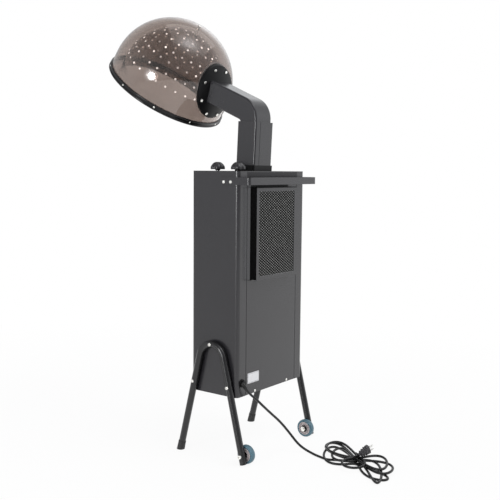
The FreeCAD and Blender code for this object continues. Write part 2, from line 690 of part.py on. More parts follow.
def dome_profile(offset):
    """Half section of the dome grown by an offset: a straight skirt under a quarter circle."""
    radius = DOME_R + offset
    half_way = math.sqrt(0.5) * radius
    rim, joint = Vector(radius, 0, 0), Vector(radius, 0, DOME_SKIRT)
    middle = Vector(half_way, 0, DOME_SKIRT + half_way)
    apex, foot = Vector(0, 0, DOME_SKIRT + radius), Vector(0, 0, 0)
    return Part.Face(Part.Wire([
        Part.makeLine(rim, joint), Part.Arc(joint, middle, apex).toShape(),
        Part.makeLine(apex, foot), Part.makeLine(foot, rim)]))


def dome_body(offset):
    """Solid dome grown by an offset, in its place on the machine."""
    return dome_place(dome_profile(offset).revolve(Vector(0, 0, 0), Z, 360))


def duct_bore():
    """The air passage of the arm's head, long enough to open the outer shell."""
    return arm_solid(ARM_WALL, 95.0, arm_foot_z() - 6, ARM_EDGE_R - ARM_WALL)


def plate_axis():
    """Backwards along the plane of the rim."""
    return Vector(0, math.cos(DOME_TILT), -math.sin(DOME_TILT))


def plate_centre():
    """Middle of the back plate, out at the side of the dome above the rim."""
    return Vector(0, DOME_Y, DOME_Z) + dome_out() * PLATE_HEIGHT + plate_axis() * 190


def plate_screw_axes():
    """Centre lines of the plate screws: points on a circle round the plate axis."""
    places = []
    for i in range(PLATE_SCREWS):
        turn = math.radians(360 / PLATE_SCREWS * (i + 0.5))
        places.append(plate_centre() + X * (PLATE_SCREW_R * math.cos(turn))
                      + dome_out() * (PLATE_SCREW_R * math.sin(turn)))
    return places


def surface_point(place, offset):
    """Point on the offset dome straight below a place beside the plate, and the way out there."""
    line = Part.makeLine(place + plate_axis() * 90, place - plate_axis() * 120)
    hit = line.common(dome_body(offset))
    ends = sorted(hit.Vertexes, key=lambda v: (v.Point - place).dot(plate_axis()))
    return ends[-1].Point


def dome_outer_shell():
    shell = dome_body(0.0).cut(dome_body(-SHELL_T))
    holes = [rod(p - plate_axis() * 60, plate_axis(), 2.1, 120) for p in plate_screw_axes()]
    spacer = rod(spacer_place(0) - dome_spacer_axis() * 40, dome_spacer_axis(), 2.6, 80)
    rim_holes = dome_place(clip_holes())
    return shell.cut(Part.makeCompound(holes + [spacer, rim_holes])).cut(duct_bore())


def dome_inner_shell():
    """Perforated inner dome with a flange that closes the air space at the rim."""
    shell = dome_profile(-DOME_GAP).cut(dome_profile(-DOME_GAP - SHELL_T))
    flange = ring(Vector(0, 0, 0), Z, DOME_R - SHELL_T - 0.6, DOME_R - DOME_GAP - 1.5, SHELL_T)
    body = shell.revolve(Vector(0, 0, 0), Z, 360).fuse(flange)
    crown_r = DOME_R - DOME_GAP
    middle = Vector(0, 0, DOME_SKIRT)
    drills = []
    for ring_number, (rise, count) in enumerate(HOLE_RINGS):
        for i in range(count):
            turn = math.radians(360 / count * (i + 0.5 * (ring_number % 2)))
            tilt = math.radians(rise)
            way = Vector(math.cos(tilt) * math.cos(turn), math.cos(tilt) * math.sin(turn),
                         math.sin(tilt))
            drills.append(rod(middle + way * (crown_r - 25), way, HOLE_R, 50))
    body = body.cut(Part.makeCompound(drills))
    spacer = rod(Vector(0, 0, 0), Z, 2.6, 400)
    spacer.Placement = FreeCAD.Placement(Vector(0, 0, 0), FreeCAD.Rotation(Z, spacer_local()))
    return dome_place(body.cut(spacer))


def spacer_local():
    """Direction of the spacer post in the dome's own frame, through the crown's centre."""
    return Vector(0.0, 0.0, 1)


def dome_spacer_axis():
    return FreeCAD.Rotation(X, -math.degrees(DOME_TILT)).multVec(spacer_local())


def spacer_place(offset):
    """Where the spacer post meets the dome grown by an offset."""
    line = Part.makeLine(Vector(0, DOME_Y, DOME_Z) + dome_spacer_axis() * 60,
                         Vector(0, DOME_Y, DOME_Z) + dome_spacer_axis() * 400)
    hit = line.common(dome_body(offset))
    return max(hit.Vertexes, key=lambda v: (v.Point - Vector(0, DOME_Y, DOME_Z)).Length).Point


def crown_spacer():
    """Shouldered post that holds the two shells apart at the crown, riveted over at both ends."""
    axis = dome_spacer_axis()
    low, high = spacer_place(-DOME_GAP), spacer_place(-SHELL_T)
    foot, top = spacer_place(-DOME_GAP - SHELL_T), spacer_place(0.0)
    body = rod(low + axis * 0.3, axis, 6.0, (high - low).Length - 0.6)
    core = rod(foot - axis * 1.0, axis, 2.5, (top - foot).Length + 2.0)
    upper = round_rim(rod(top + axis * 0.3, axis, 5.0, 3.0), top, axis, 1.8)
    lower = round_rim(rod(foot - axis * 0.3, -axis, 4.0, 2.0), foot, -axis, 1.2)
    return fuse([body, core, upper, lower])


def rim_trim():
    """Soft trim with two beads, slotted over the edge of the outer shell."""
    centre_r = DOME_R + 1.6
    low_bead = Part.makeTorus(centre_r, TRIM_R, Vector(0, 0, TRIM_FOOT))
    top_bead = Part.makeTorus(centre_r, TRIM_LIP_R, Vector(0, 0, TRIM_H))
    web = ring(Vector(0, 0, TRIM_FOOT), Z, centre_r + 1.4, centre_r - 5.0, TRIM_H - TRIM_FOOT)
    body = low_bead.fuse(web).fuse(top_bead)
    body = body.cut(dome_profile(0.05).revolve(Vector(0, 0, 0), Z, 360))
    return dome_place(body.cut(clip_holes()))


def clip_local(index):
    """Seat, sunk a little in the trim, and outward direction of one rim screw in the dome's frame."""
    turn = math.radians(360 / RIM_CLIPS * index)
    way = Vector(math.cos(turn), math.sin(turn), 0)
    return way * (DOME_R + 2.6) + Z * ((TRIM_FOOT + TRIM_H) / 2), way


def clip_holes():
    """Drills and head pockets for the rim screws, in the dome's own frame."""
    drills = []
    for i in range(RIM_CLIPS):
        place, way = clip_local(i)
        drills.append(rod(place - way * 12, way, 1.75, 24).fuse(rod(place, way, 3.5, 8)))
    return Part.makeCompound(drills)


def rim_screws():
    """Small screws round the rim that hold the trim on the outer shell."""
    heads = []
    for i in range(RIM_CLIPS):
        place, way = clip_local(i)
        heads.append(screw(place, way, 3.4, 2.0, 1.7, 7.0))
    return dome_place(Part.makeCompound(heads))


def back_plate():
    """Moulded disc that follows the dome and carries it on the arm."""
    disc = rod(plate_centre() - plate_axis() * 60, plate_axis(), PLATE_R, 120)
    body = dome_body(PLATE_T + 0.3).cut(dome_body(0.1)).common(disc)
    holes = [rod(p - plate_axis() * 60, plate_axis(), 2.1, 120) for p in plate_screw_axes()]
    holes += [rod(seat, plate_axis(), 5.1, 12) for seat in plate_screw_seats()]
    return body.cut(Part.makeCompound(holes)).cut(duct_bore())


def clamp_ring():
    """Steel ring inside the outer shell that the plate screws pull against."""
    disc = rod(plate_centre() - plate_axis() * 60, plate_axis(), PLATE_R, 120)
    hollow = rod(plate_centre() - plate_axis() * 60, plate_axis(), PLATE_SCREW_R - 12, 120)
    body = dome_body(-SHELL_T - 0.1).cut(dome_body(-SHELL_T - 2.1)).common(disc).cut(hollow)
    holes = [rod(p - plate_axis() * 60, plate_axis(), 2.1, 120) for p in plate_screw_axes()]
    return body.cut(Part.makeCompound(holes)).cut(duct_bore())


def plate_screw_seats():
    """Undersides of the screw heads, where the curved plate is spot-faced for them."""
    return [surface_point(p, PLATE_T + 0.3) + plate_axis() * 0.9 for p in plate_screw_axes()]


def plate_screws():
    return Part.makeCompound([screw(seat, plate_axis(), 5.0, 2.8, 2.0, PLATE_T + SHELL_T + 8)
                              for seat in plate_screw_seats()])


# ---- controls --------------------------------------------------------------------------
def knob(y):
    """Fluted mushroom knob: an upright brim under a low crown, over a round neck.

    The neck is counterbored so that it clears the threaded neck of the control below.
    """
    centre = Vector(KNOB_X, y, TOP)
    neck = rod(centre + Z * 1.0, Z, 8.5, 9.0)
    crown = Part.makeSphere(KNOB_R * 1.12, centre - Z * (KNOB_R * 1.12 - KNOB_H), Z)
    crown = crown.common(rod(centre + Z * 5, Z, KNOB_R, KNOB_H - 5))
    crown = crown.cut(Part.makeCone(KNOB_R - 3, 9.0, 4.5, centre + Z * 5, Z))
    flutes = []
    for i in range(KNOB_FLUTES):
        turn = math.radians(360 / KNOB_FLUTES * i + 12)
        start = centre + Vector(math.cos(turn), math.sin(turn), 0) * (KNOB_R + 6.5)
        flutes.append(rod(start, Z, 9.0, 60))
    body = crown.cut(Part.makeCompound(flutes)).fuse(neck)
    over_neck = rod(centre, Z, 5.2, 4.8)
    return body.cut(rod(centre, Z, SHAFT_R, 16)).cut(over_neck).removeSplitter()


def knob_shaft(y, length):
    return rod(Vector(KNOB_X, y, TOP + 16 - length), Z, SHAFT_R, length)


def timer_body():
    """Clockwork timer under the top plate, with a bore for its spindle and a threaded neck."""
    centre = Vector(KNOB_X, TIMER_Y, 0)
    z1 = TOP - SHEET - 0.2
    case = block(centre.x - 26, centre.x + 26, centre.y - 24, centre.y + 20, z1 - 34, z1)
    case = case.makeFillet(3.0, [e for e in case.Edges if abs(e.tangentAt(e.FirstParameter).z) > 0.9])
    neck = rod(Vector(centre.x, centre.y, z1), Z, 4.5, 5.5)
    bore = rod(Vector(centre.x, centre.y, z1 - 25), Z, SHAFT_R + RUNNING_GAP, 60)
    return case.fuse(neck).cut(bore)


def heat_switch():
    """Round rotary switch under the top plate, with its terminals and threaded neck."""
    base = Vector(KNOB_X, HEAT_Y, TOP - SHEET - 0.2)
    case = rod(base - Z * 24, Z, 14.5, 24)
    tabs = [rod(base - Z * 30 + Vector(8 * math.cos(a), 8 * math.sin(a), 0), Z, 1.6, 8)
            for a in (0.5, 2.1, 3.7, 5.3)]
    neck = rod(base, Z, 4.5, 5.5)
    return fuse([case, neck] + tabs).cut(rod(base - Z * 18, Z, SHAFT_R + RUNNING_GAP, 60))


# ---- blower and heater -----------------------------------------------------------------
def scroll_radius(turn):
    """Distance from the axis to the wall of the scroll after a turn in radians."""
    return IMPELLER_R + 5.0 + 14.0 * turn / (1.5 * math.pi)


def scroll_face(offset, x):
    """Side outline of the scroll: a growing spiral that opens into an upward outlet."""
    centre = Vector(x, 0, BLOWER_Z)
    points = []
    for i in range(13):
        turn = 1.5 * math.pi * i / 12
        radius = scroll_radius(turn) + offset
        points.append(centre + Vector(0, radius * math.sin(turn), radius * math.cos(turn)))
    spiral = Part.BSplineCurve()
    spiral.interpolate(points)
    out_z = BLOWER_Z + 104
    start, end = points[0], points[-1]
    throat = Vector(x, -18 + offset, start.z)
    corners = [end, Vector(x, end.y, out_z), Vector(x, throat.y, out_z), throat, start]
    edges = [spiral.toShape()]
    edges += [Part.makeLine(a, b) for a, b in zip(corners, corners[1:])]
    return Part.Face(Part.Wire(edges))


def blower_scroll():
    """Sheet-metal scroll with an inlet ring on one side and the motor hole on the other."""
    half = SCROLL_W / 2
    outer = scroll_face(SHEET, -half).extrude(X * SCROLL_W)
    inner = scroll_face(0.0, -half + SHEET).extrude(X * (SCROLL_W - 2 * SHEET))
    body = outer.cut(inner)
    top_cut = block(-half + SHEET, half - SHEET, -80.8, -18, BLOWER_Z + 90, BLOWER_Z + 110)
    centre = Vector(0, 0, BLOWER_Z)
    body = body.cut(top_cut).cut(rod(centre + X * (half - 5), X, 46.0, 12))
    body = body.cut(rod(centre - X * (half + 5), X, 14.0, 12))
    inlet = ring(centre + X * (half - 0.4), X, 49.0, 46.0, 7.0)
    return body.fuse(inlet)


def blower_impeller():
    """Squirrel-cage wheel: backplate with a hub, forward-leaning blades and a front ring."""
    x0 = -IMPELLER_W / 2
    centre = Vector(x0, 0, BLOWER_Z)
    plate = rod(centre, X, IMPELLER_R, 1.6)
    hub = rod(centre, X, 10.0, 26.0)
    front = ring(centre + X * (IMPELLER_W - 2), X, IMPELLER_R, IMPELLER_R - 11, 2.0)
    blades = []
    for i in range(WHEEL_BLADES):
        blade = block(x0, -x0, -0.6, 0.6, BLOWER_Z + IMPELLER_R - 10.5, BLOWER_Z + IMPELLER_R - 0.8)
        blade = turned(blade, Vector(0, 0, BLOWER_Z + IMPELLER_R - 5.5), X, 32)
        blades.append(turned(blade, Vector(0, 0, BLOWER_Z), X, 360 / WHEEL_BLADES * i))
    body = fuse([plate, hub, front] + blades)
    return body.cut(rod(centre - X * 5, X, SHAFT_BLOWER_R, 80))


def motor_shaft():
    return rod(Vector(-SCROLL_W / 2 - 8 - MOTOR_L - 8, 0, BLOWER_Z), X, SHAFT_BLOWER_R,
               SCROLL_W / 2 + 16 + MOTOR_L - 6)


def motor_frame_start():
    return Vector(-SCROLL_W / 2 - 6.0, 0, BLOWER_Z)


def blower_motor():
    """Shaded-pole motor: laminated core between two end bells."""
    start = motor_frame_start()
    bell = rod(start, -X, MOTOR_R, MOTOR_L)
    rims = [e for e in bell.Edges if e.Curve.TypeId == "Part::GeomCircle"]
    bell = bell.makeFillet(8.0, rims)
    core = rod(start - X * 24, -X, MOTOR_R + 4, 30)
    vents = [rod(start - X * (MOTOR_L - 2) + Vector(0, 26 * math.cos(a), 26 * math.sin(a)), -X, 4.5, 6)
             for a in [math.radians(60 * i) for i in range(6)]]
    body = bell.fuse(core).cut(Part.makeCompound(vents))
    body = body.cut(rod(start - X * 13, -X, 8.0, MOTOR_L - 26))
    return body.cut(rod(start + X * 5, -X, SHAFT_BLOWER_R + RUNNING_GAP, MOTOR_L + 10))


def blower_bracket():
    """Upright plate between scroll and motor, with a foot screwed to the base pan."""
    x = -SCROLL_W / 2
    plate = block(x - 6, x - 3, -50, 50, BOTTOM + SHEET, BLOWER_Z + 48)
    foot = block(x - 46, x - 3, -50, 50, BOTTOM + SHEET, BOTTOM + SHEET + 3)
    spacers = [rod(Vector(x - 3, y, z), X, 6, 3) for y in (-40, 40) for z in (BLOWER_Z - 30, BLOWER_Z + 30)]
    opening = rod(Vector(x - 10, 0, BLOWER_Z), X, 14.0, 12)
    return fuse([plate, foot] + spacers).cut(opening)


def heater_frame():
    """Two crossed mica boards that hold the heating wire."""
    z0, z1 = BLOWER_Z + 120, TOP - MAST_SUNK - 145
    half = SCROLL_W / 2 - SHEET - 0.2
    boards = [block(x - 0.8, x + 0.8, -80.9, -18.3, z0, z1) for x in (-26, 26)]
    rungs = [block(-26, 26, -50.3, -48.9, z, z + 10) for z in (z0 + 6, z1 - 16)]
    ends = [block(side * 26, side * half, -52, -47, z0, z0 + 8) if side > 0
            else block(-half, -26, -52, -47, z0, z0 + 8) for side in (1, -1)]
    return fuse(boards + rungs + ends)


def heater_coils():
    """Rows of heating wire strung between the mica boards."""
    z0, z1 = BLOWER_Z + 145, TOP - MAST_SUNK - 170
    rows = int((z1 - z0) / 16)
    wires = []
    for j in range(rows + 1):
        for i in range(4):
            y = -72 + 14.5 * i + (4 if j % 2 else 0)
            wires.append(rod(Vector(-25.2, y, z0 + 16 * j), X, 2.2, 50.4))
    return Part.makeCompound(wires)


def heater_duct():
    """Sheet duct over the blower outlet: a box for the heater, then a taper to the sleeve."""
    foot, z0, z1 = BLOWER_Z + 104.3, TOP - MAST_SUNK - 130, TOP - MAST_SUNK - 4

    def taper(inset):
        half = SCROLL_W / 2 - inset
        low = Part.makePolygon([Vector(half, -82.5 + inset, z0), Vector(half, -16.8 - inset, z0),
                                Vector(-half, -16.8 - inset, z0), Vector(-half, -82.5 + inset, z0),
                                Vector(half, -82.5 + inset, z0)])
        w, d = MAST_W / 2 - inset, MAST_D / 2 - inset
        c = mast_point(z1).y
        high = Part.makePolygon([Vector(w, c - d, z1), Vector(w, c + d, z1), Vector(-w, c + d, z1),
                                 Vector(-w, c - d, z1), Vector(w, c - d, z1)])
        return Part.makeLoft([low, high], True, True)

    half, inner = SCROLL_W / 2, SCROLL_W / 2 - SHEET
    box = block(-half, half, -82.5, -16.8, foot, z0)
    hollow = block(-inner, inner, -82.5 + SHEET, -16.8 - SHEET, foot - 1, z0 + 0.5)
    return fuse([box, taper(0.0)]).cut(hollow).cut(taper(SHEET))


def terminal_block():
    """Mains terminal block on the base pan beside the cord entry."""
    base = block(112, 158, 20, 42, BOTTOM + SHEET + 0.1, BOTTOM + SHEET + 20)
    wells = [rod(Vector(119 + 8 * i, 31, BOTTOM + 12), Z, 2.4, 20) for i in range(5)]
    return base.cut(Part.makeCompound(wells))


# ---- power cord ------------------------------------------------------------------------
def cord_gland():
    """Round bush clamped in the back flange, its neck standing out behind."""
    flange = round_rim(rod(GLAND, Y, 13.0, 3.2), GLAND, Y, 1.2)
    throat = rod(GLAND - Y * 6, Y, 8.0, 6)
    neck = rod(GLAND, Y, 8.5, 9.0)
    groove = ring(GLAND + Y * 1.6, Y, 11.2, 9.6, 2.0)
    return fuse([flange.cut(groove), throat, neck]).cut(rod(GLAND - Y * 8, Y, 3.6, 11))


def strain_relief():
    """Ribbed tapered boot that turns the cord downwards."""
    end = CORD_ROUTE[0]
    along = (CORD_ROUTE[1] - CORD_ROUTE[0]).normalize()
    start = end - along * 23.0
    cone = Part.makeCone(6.6, 4.9, 23.0, start, along)
    knuckle = Part.makeSphere(6.6, start, Z)
    grooves = [ring(start + along * (5 + 5 * i), along, 9.0, 4.6, 1.2) for i in range(3)]
    boot = cone.fuse(knuckle).cut(Part.makeCompound(grooves))
    return boot.cut(cord_gland()).cut(rod(GLAND - Y * 10, Y, 8.5, 19.0))


def bent_path(points):
    """Straight runs joined by tangent arcs as large as the runs allow."""
    edges = []
    radii = []
    last = points[0]
    for before, corner, after in zip(points, points[1:], points[2:]):
        back, on = (before - corner), (after - corner)
        shorter = min(back.Length, on.Length)
        back_way, on_way = back.normalize(), on.normalize()
        half_turn = (math.pi - back_way.getAngle(on_way)) / 2
        cut = 0.45 * shorter
        radius = cut / math.tan(half_turn)
        radii.append(radius)
        start, end = corner + back_way * cut, corner + on_way * cut
        inward = (back_way + on_way).normalize()
        middle = corner + inward * (radius / math.cos(half_turn) - radius)
        edges.append(Part.LineSegment(last, start).toShape())
        edges.append(Part.Arc(start, middle, end).toShape())
        last = end
    edges.append(Part.LineSegment(last, points[-1]).toShape())
    return Part.Wire(edges), radii


def power_cord():
    path, radii = bent_path(CORD_ROUTE)
    along = (CORD_ROUTE[1] - CORD_ROUTE[0]).normalize()
    profile = Part.Wire([Part.makeCircle(CORD_D / 2, CORD_ROUTE[0], along)])
    tube = path.makePipeShell([profile], True, False)
    print("cord bend radii", [round(r, 1) for r in radii])
    print("cord length", round(path.Length, 1), "volume ratio",
          round(tube.Volume / (path.Length * math.pi * (CORD_D / 2) ** 2), 4))
    return tube


def cord_hank():
    """Outer shape of the tied figure-eight of spare cord: two lobes and a waist."""
    far_lobe = rounded_lobe(Vector(-15, 487, 0), 106, 46, 24)
    near_lobe = rounded_lobe(Vector(-69, 323, 0), 108, 60, 45)
    waist = rounded_lobe(Vector(-45, 403, 0), 46, 40, 0)
    return fuse([far_lobe, near_lobe, waist])


def rounded_lobe(centre, half_long, half_wide, turn):
    """Flat oval slab lying on the floor."""
    oval = Part.Ellipse(centre, half_long, half_wide)
    slab = Part.Face(Part.Wire([oval.toShape()])).extrude(Z * HANK_H)
    return slab.rotated(centre, Z, turn)


def plug():
    """Moulded mains plug with a ribbed grip and three pins."""
    along = (PLUG_TIP - PLUG_BASE)
    length = along.Length
    along = along.normalize()
    side = along.cross(Z).normalize()
    turn = FreeCAD.Rotation(side.cross(along), side, along, "ZXY")
    body = rounded_prism(28.0, 19.0, 6.0, length - 14, length)
    waist = rounded_prism(20.0, 15.0, 5.0, 10.0, length - 10)
    boot = Part.makeCone(5.0, 7.5, 12.0, Vector(0, 0, 0), Z)
    ribs = [rounded_prism(19.0 + 3 * i, 16.5, 5.5, 12 + 6 * i, 15 + 6 * i) for i in range(3)]
    pins = [Part.makeBox(1.6, 6.4, 18.0, Vector(x, -0.5, length - 1)) for x in (-7.15, 5.55)]
    earth = rod(Vector(0, -5.6, length - 1), Z, 2.4, 20.0)
    whole = fuse([body, waist, boot] + ribs + pins + [earth])
    whole.Placement = FreeCAD.Placement(PLUG_BASE, turn)
    return whole


def main():
    os.makedirs("parts", exist_ok=True)
    save("cabinet_wrap", cabinet_wrap())
    save("back_panel", back_panel())
    save("top_plate", top_plate())
    save("base_pan", base_pan())
    save("panel_screws", panel_screws())
    save("rating_plate", rating_plate())
    save("push_handle", push_handle())
    save("handle_screws", handle_screws())

    save("filter_frame", filter_frame())
    save("filter_mesh", filter_mesh())
    save("filter_pad", filter_pad())

    for side, place in (("left", lambda s: s), ("right", mirrored)):
        save("leg_" + side, place(leg_tube()))
        save("tyre_" + side, place(wheel_tyre()))
        save("wheel_hub_" + side, place(wheel_hub()))
        save("wheel_bearing_" + side, place(wheel_bearing()))
    save("leg_plugs", leg_plugs())
    save("rubber_feet", rubber_feet())
    save("leg_bolts", leg_bolts())
    save("axle_bolts", axle_bolts())
    save("axle_washers", axle_washers())

    save("mast_sleeve", mast_sleeve())
    save("mast_collar", mast_collar())
    save("mast_upper_guide", upper_guide())
    save("mast_stop_pin", stop_pin())
    save("arm_glide", lower_glide())
    save("arm_duct", arm_duct())

    save("dome_outer_shell", dome_outer_shell())
    save("dome_inner_shell", dome_inner_shell())
    save("dome_rim_trim", rim_trim())
    save("dome_rim_screws", rim_screws())
    save("dome_back_plate", back_plate())
    save("dome_clamp_ring", clamp_ring())
    save("dome_plate_screws", plate_screws())
    save("dome_spacer", crown_spacer())

    save("timer_knob", knob(TIMER_Y))
    save("heat_knob", knob(HEAT_Y))
    save("timer_spindle", knob_shaft(TIMER_Y, 38.0))
    save("heat_spindle", knob_shaft(HEAT_Y, 32.0))
    save("timer_body", timer_body())
    save("heat_switch", heat_switch())

    save("blower_scroll", blower_scroll())
    save("blower_impeller", blower_impeller())
    save("motor_shaft", motor_shaft())
    save("blower_motor", blower_motor())
    save("blower_bracket", blower_bracket())
    save("heater_duct", heater_duct())
    save("heater_frame", heater_frame())
    save("heater_coils", heater_coils())
    save("terminal_block", terminal_block())

    save("cord_gland", cord_gland())
    save("strain_relief", strain_relief())
    save("power_cord", power_cord())
    save("cord_hank", cord_hank())
    save("plug", plug())


if __name__ == "__main__":
    main()
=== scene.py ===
import json
import math

import bmesh
import bpy
import numpy as np
from mathutils import Matrix, Vector


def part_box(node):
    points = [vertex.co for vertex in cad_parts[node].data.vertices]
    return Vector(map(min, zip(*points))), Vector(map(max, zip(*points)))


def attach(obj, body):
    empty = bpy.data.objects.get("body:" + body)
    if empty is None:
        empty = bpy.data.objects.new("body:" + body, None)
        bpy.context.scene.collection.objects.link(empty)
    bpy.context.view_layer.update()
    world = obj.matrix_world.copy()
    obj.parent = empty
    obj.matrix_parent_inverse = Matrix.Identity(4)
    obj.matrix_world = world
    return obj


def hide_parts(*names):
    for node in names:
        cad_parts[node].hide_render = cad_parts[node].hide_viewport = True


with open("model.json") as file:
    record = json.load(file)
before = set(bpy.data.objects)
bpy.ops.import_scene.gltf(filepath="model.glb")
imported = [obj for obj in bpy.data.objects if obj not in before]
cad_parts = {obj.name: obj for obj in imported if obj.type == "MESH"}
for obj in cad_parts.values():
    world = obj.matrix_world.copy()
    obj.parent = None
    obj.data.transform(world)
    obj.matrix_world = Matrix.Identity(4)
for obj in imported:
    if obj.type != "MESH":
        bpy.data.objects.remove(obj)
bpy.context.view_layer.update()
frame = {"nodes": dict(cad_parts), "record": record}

bl_info = {
    "name": "Salon hair processor looks",
    "version": (1, 0, 0),
    "blender": (4, 5, 0),
    "location": "3D View > Sidebar > Hair Processor",
    "description": "Finishes, cord, knobs and wheels of a floor-standing salon hair processor",
    "category": "Object",
}


# ---- places taken from the frame -----------------------------------------------------------
def corners(node):
    """Lowest and highest corner of a CAD node as numpy arrays."""
    low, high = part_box(node)
    return np.array(low, float), np.array(high, float)


def middle(node):
    """Middle of a CAD node's box."""
    low, high = corners(node)
    return (low + high) / 2


CABINET_Y = middle("cabinet_wrap")[1]      # mid-depth of the cabinet, where the cord's route is counted from
KNOBS = {"timer_knob": "timer_dial", "heat_knob": "heat_dial"}      # CAD node and the body it rides
KNOB_STEPS = 180                           # points round a knob
WHEELS = ("left", "right")
MESH_PITCH = (0.0143, 0.00885)             # diamonds of the filter mesh, across and upwards

# The route of the uncoiled cord, in millimetres from the middle of the cabinet and the floor.
CORD_ROUTE_MM = (
    (153.6, 109.8, 232.0), (143.0, 115.0, 216.0), (119.0, 122.0, 196.0), (98.0, 131.0, 173.0),
    (68.0, 141.0, 143.5), (24.0, 152.0, 104.0), (-5.0, 169.0, 62.5), (-18.0, 192.0, 29.0),
    (-30.0, 211.0, 11.5), (-31.0, 232.0, 5.0), (-22.0, 257.0, 4.2), (-15.0, 283.0, 4.2),
    (-9.0, 306.0, 4.2),
)
INTO_HANK_MM = ((-13.0, 320.0, 4.2), (-27.0, 343.0, 4.2), (-42.0, 372.0, 4.2))
HANK_TIE_MM = (-45.0, 403.0)
WAIST_ACROSS = np.array((-0.80, 0.60))     # level direction across the waist of the hank
CORD_STEP = 7.9                            # strands lie this far apart at the waist
LAYER_STEP = CORD_STEP * 0.85              # and each layer this far above the one below
TIP_STEP = 3.2                             # each pair of lobes is this much higher at its tips
FLOOR_STRAND = 4.1                         # height of the middle of a strand that lies on the floor
LOBE_SAMPLES = 15
# Direction in degrees, length, width and skew of each lobe in millimetres. The cord comes in on
# the near side, so it starts with a far lobe and changes sides at every pass of the waist.
LOBES = ((54, 156, 58, 20), (-74, 130, 134, -75), (107, 96, -127, -128), (-111, 186, 62, -36),
         (92, 122, -85, -30), (-81, 102, 104, -52), (114, 95, -118, -20), (-104, 172, 76, -48))
LAST_TURN_MM = (-4.6, 409.5)               # middle of the last turn before the plug
LAST_TURN_RADIUS = 36.0
LAST_TURN_FROM, LAST_TURN_SWEEP = 142, 260     # degrees
LAST_TURN_HEIGHT, LAST_TURN_DIP = 18, 4
LEAVE_WAIST_MM = (-42, 420, 19)
INTO_PLUG_MM = (-37, 386.5, 17.5)
PLUG_BASE_MM = (-53.0, 396.0, 24.0)
PLUG_TIP_MM = (-90.2, 415.6, 40.4)
PLUG_LENGTH = 0.0451
PLUG_DEPTH = 0.68                          # depth of the plug as a share of its width
RIB_PITCH = 0.0092                         # from rib to rib along the plug

# The domed hood, in metres unless a name says millimetres.
DOME_TILT = math.radians(36.15)
DOME_RIM_MM = (0.0, -375.1, 1188.5)
DOME_SKIRT = 0.0533
INNER_RADIUS = 0.1778
SHELL_THICKNESS = 0.003
HOLE_RADIUS = 0.0026
# Of each ring, its lift in degrees seen from the middle of the ball, and its number of holes.
HOLE_RINGS = ((8, 30), (20, 30), (32, 28), (44, 24), (56, 18), (68, 12), (79, 6))


def machine_point(x, y, z):
    """A point counted in millimetres from the cabinet's middle, as metres in the model's frame."""
    return Vector((x / 1000, y / 1000 + CABINET_Y, z / 1000))


# ---- settings ------------------------------------------------------------------------------
def colour_prop(name, description, default):
    """A colour setting."""
    return bpy.props.FloatVectorProperty(
        name=name, description=description, default=default, size=3, min=0.0, max=1.0,
        subtype="COLOR")


def length_prop(name, description, default):
    """A length setting in metres."""
    return bpy.props.FloatProperty(
        name=name, description=description, default=default, min=0.0, subtype="DISTANCE",
        unit="LENGTH")


class ProcessorColours(bpy.types.PropertyGroup):
    """Colours a user would change."""

    cabinet: colour_prop("Cabinet", "Powder coat of cabinet, mast and handle", (0.0170, 0.0163, 0.0190))
    leg: colour_prop("Legs", "Satin paint of the leg tubes", (0.0060, 0.0058, 0.0068))
    plastic: colour_prop("Black plastic", "Collar, back plate and gland", (0.0040, 0.0040, 0.0045))
    knob: colour_prop("Knobs", "Satin knob plastic", (0.0150, 0.0140, 0.0165))
    duct: colour_prop("Arm", "Moulded arm", (0.0150, 0.0145, 0.0172))
    smoke: colour_prop("Smoked dome", "Tint of one pass through a shell", (0.495, 0.435, 0.405))
    tyre: colour_prop("Tyre", "Soft wheel tread", (0.075, 0.160, 0.205))
    hub: colour_prop("Hub", "Wheel hub plastic", (0.46, 0.41, 0.41))
    cord: colour_prop("Cord", "Jacket of the mains cord", (0.0045, 0.0045, 0.0048))


class ProcessorSizes(bpy.types.PropertyGroup):
    """Sizes of the pieces made here."""

    cord_diameter: length_prop("Cord diameter", "Outer diameter of the mains cord", 0.008)
    knob_radius: length_prop("Knob radius", "Largest radius of a knob", 0.024)
    knob_height: length_prop("Knob height", "Height of a knob above the lid", 0.0285)
    knob_flutes: bpy.props.IntProperty(
        name="Knob flutes", description="Hollows round a knob", default=6, min=3, max=12)
    hank_turns: bpy.props.IntProperty(
        name="Hank turns", description="Figure-eight turns of spare cord", default=4, min=1, max=4)
    tyre_crown: length_prop("Tyre crown", "How much the tread bulges at its middle", 0.0006)


# ---- mesh helpers --------------------------------------------------------------------------
def mesh_object(name, points, faces, material, crease_angle=40.0):
    """Makes an object from points and faces, welds doubles and points its faces outwards."""
    mesh = bpy.data.meshes.new(name)
    mesh.from_pydata(np.asarray(points, float).reshape(-1, 3).tolist(), [], [list(f) for f in faces])
    work = bmesh.new()
    work.from_mesh(mesh)
    bmesh.ops.remove_doubles(work, verts=work.verts, dist=1e-6)
    bmesh.ops.dissolve_degenerate(work, edges=work.edges, dist=1e-7)
    bmesh.ops.recalc_face_normals(work, faces=work.faces)
    work.to_mesh(mesh)
    work.free()
    mesh.polygons.foreach_set("use_smooth", np.ones(len(mesh.polygons), bool))
    mesh.set_sharp_from_angle(angle=math.radians(crease_angle))
    mesh.materials.append(material)
    obj = bpy.data.objects.new(name, mesh)
    bpy.context.collection.objects.link(obj)
    return obj


def grid_faces(rows, columns, close_rows=False, close_columns=False, start=0):
    """Quads that join a grid of points stored row by row, as index arrays with no loop."""
    i = np.arange(rows if close_rows else rows - 1)
    j = np.arange(columns if close_columns else columns - 1)
    i, j = np.meshgrid(i, j, indexing="ij")
    i2, j2 = (i + 1) % rows, (j + 1) % columns
    quads = np.stack([i * columns + j, i2 * columns + j, i2 * columns + j2, i * columns + j2], -1)
    return (quads.reshape(-1, 4) + start).tolist()


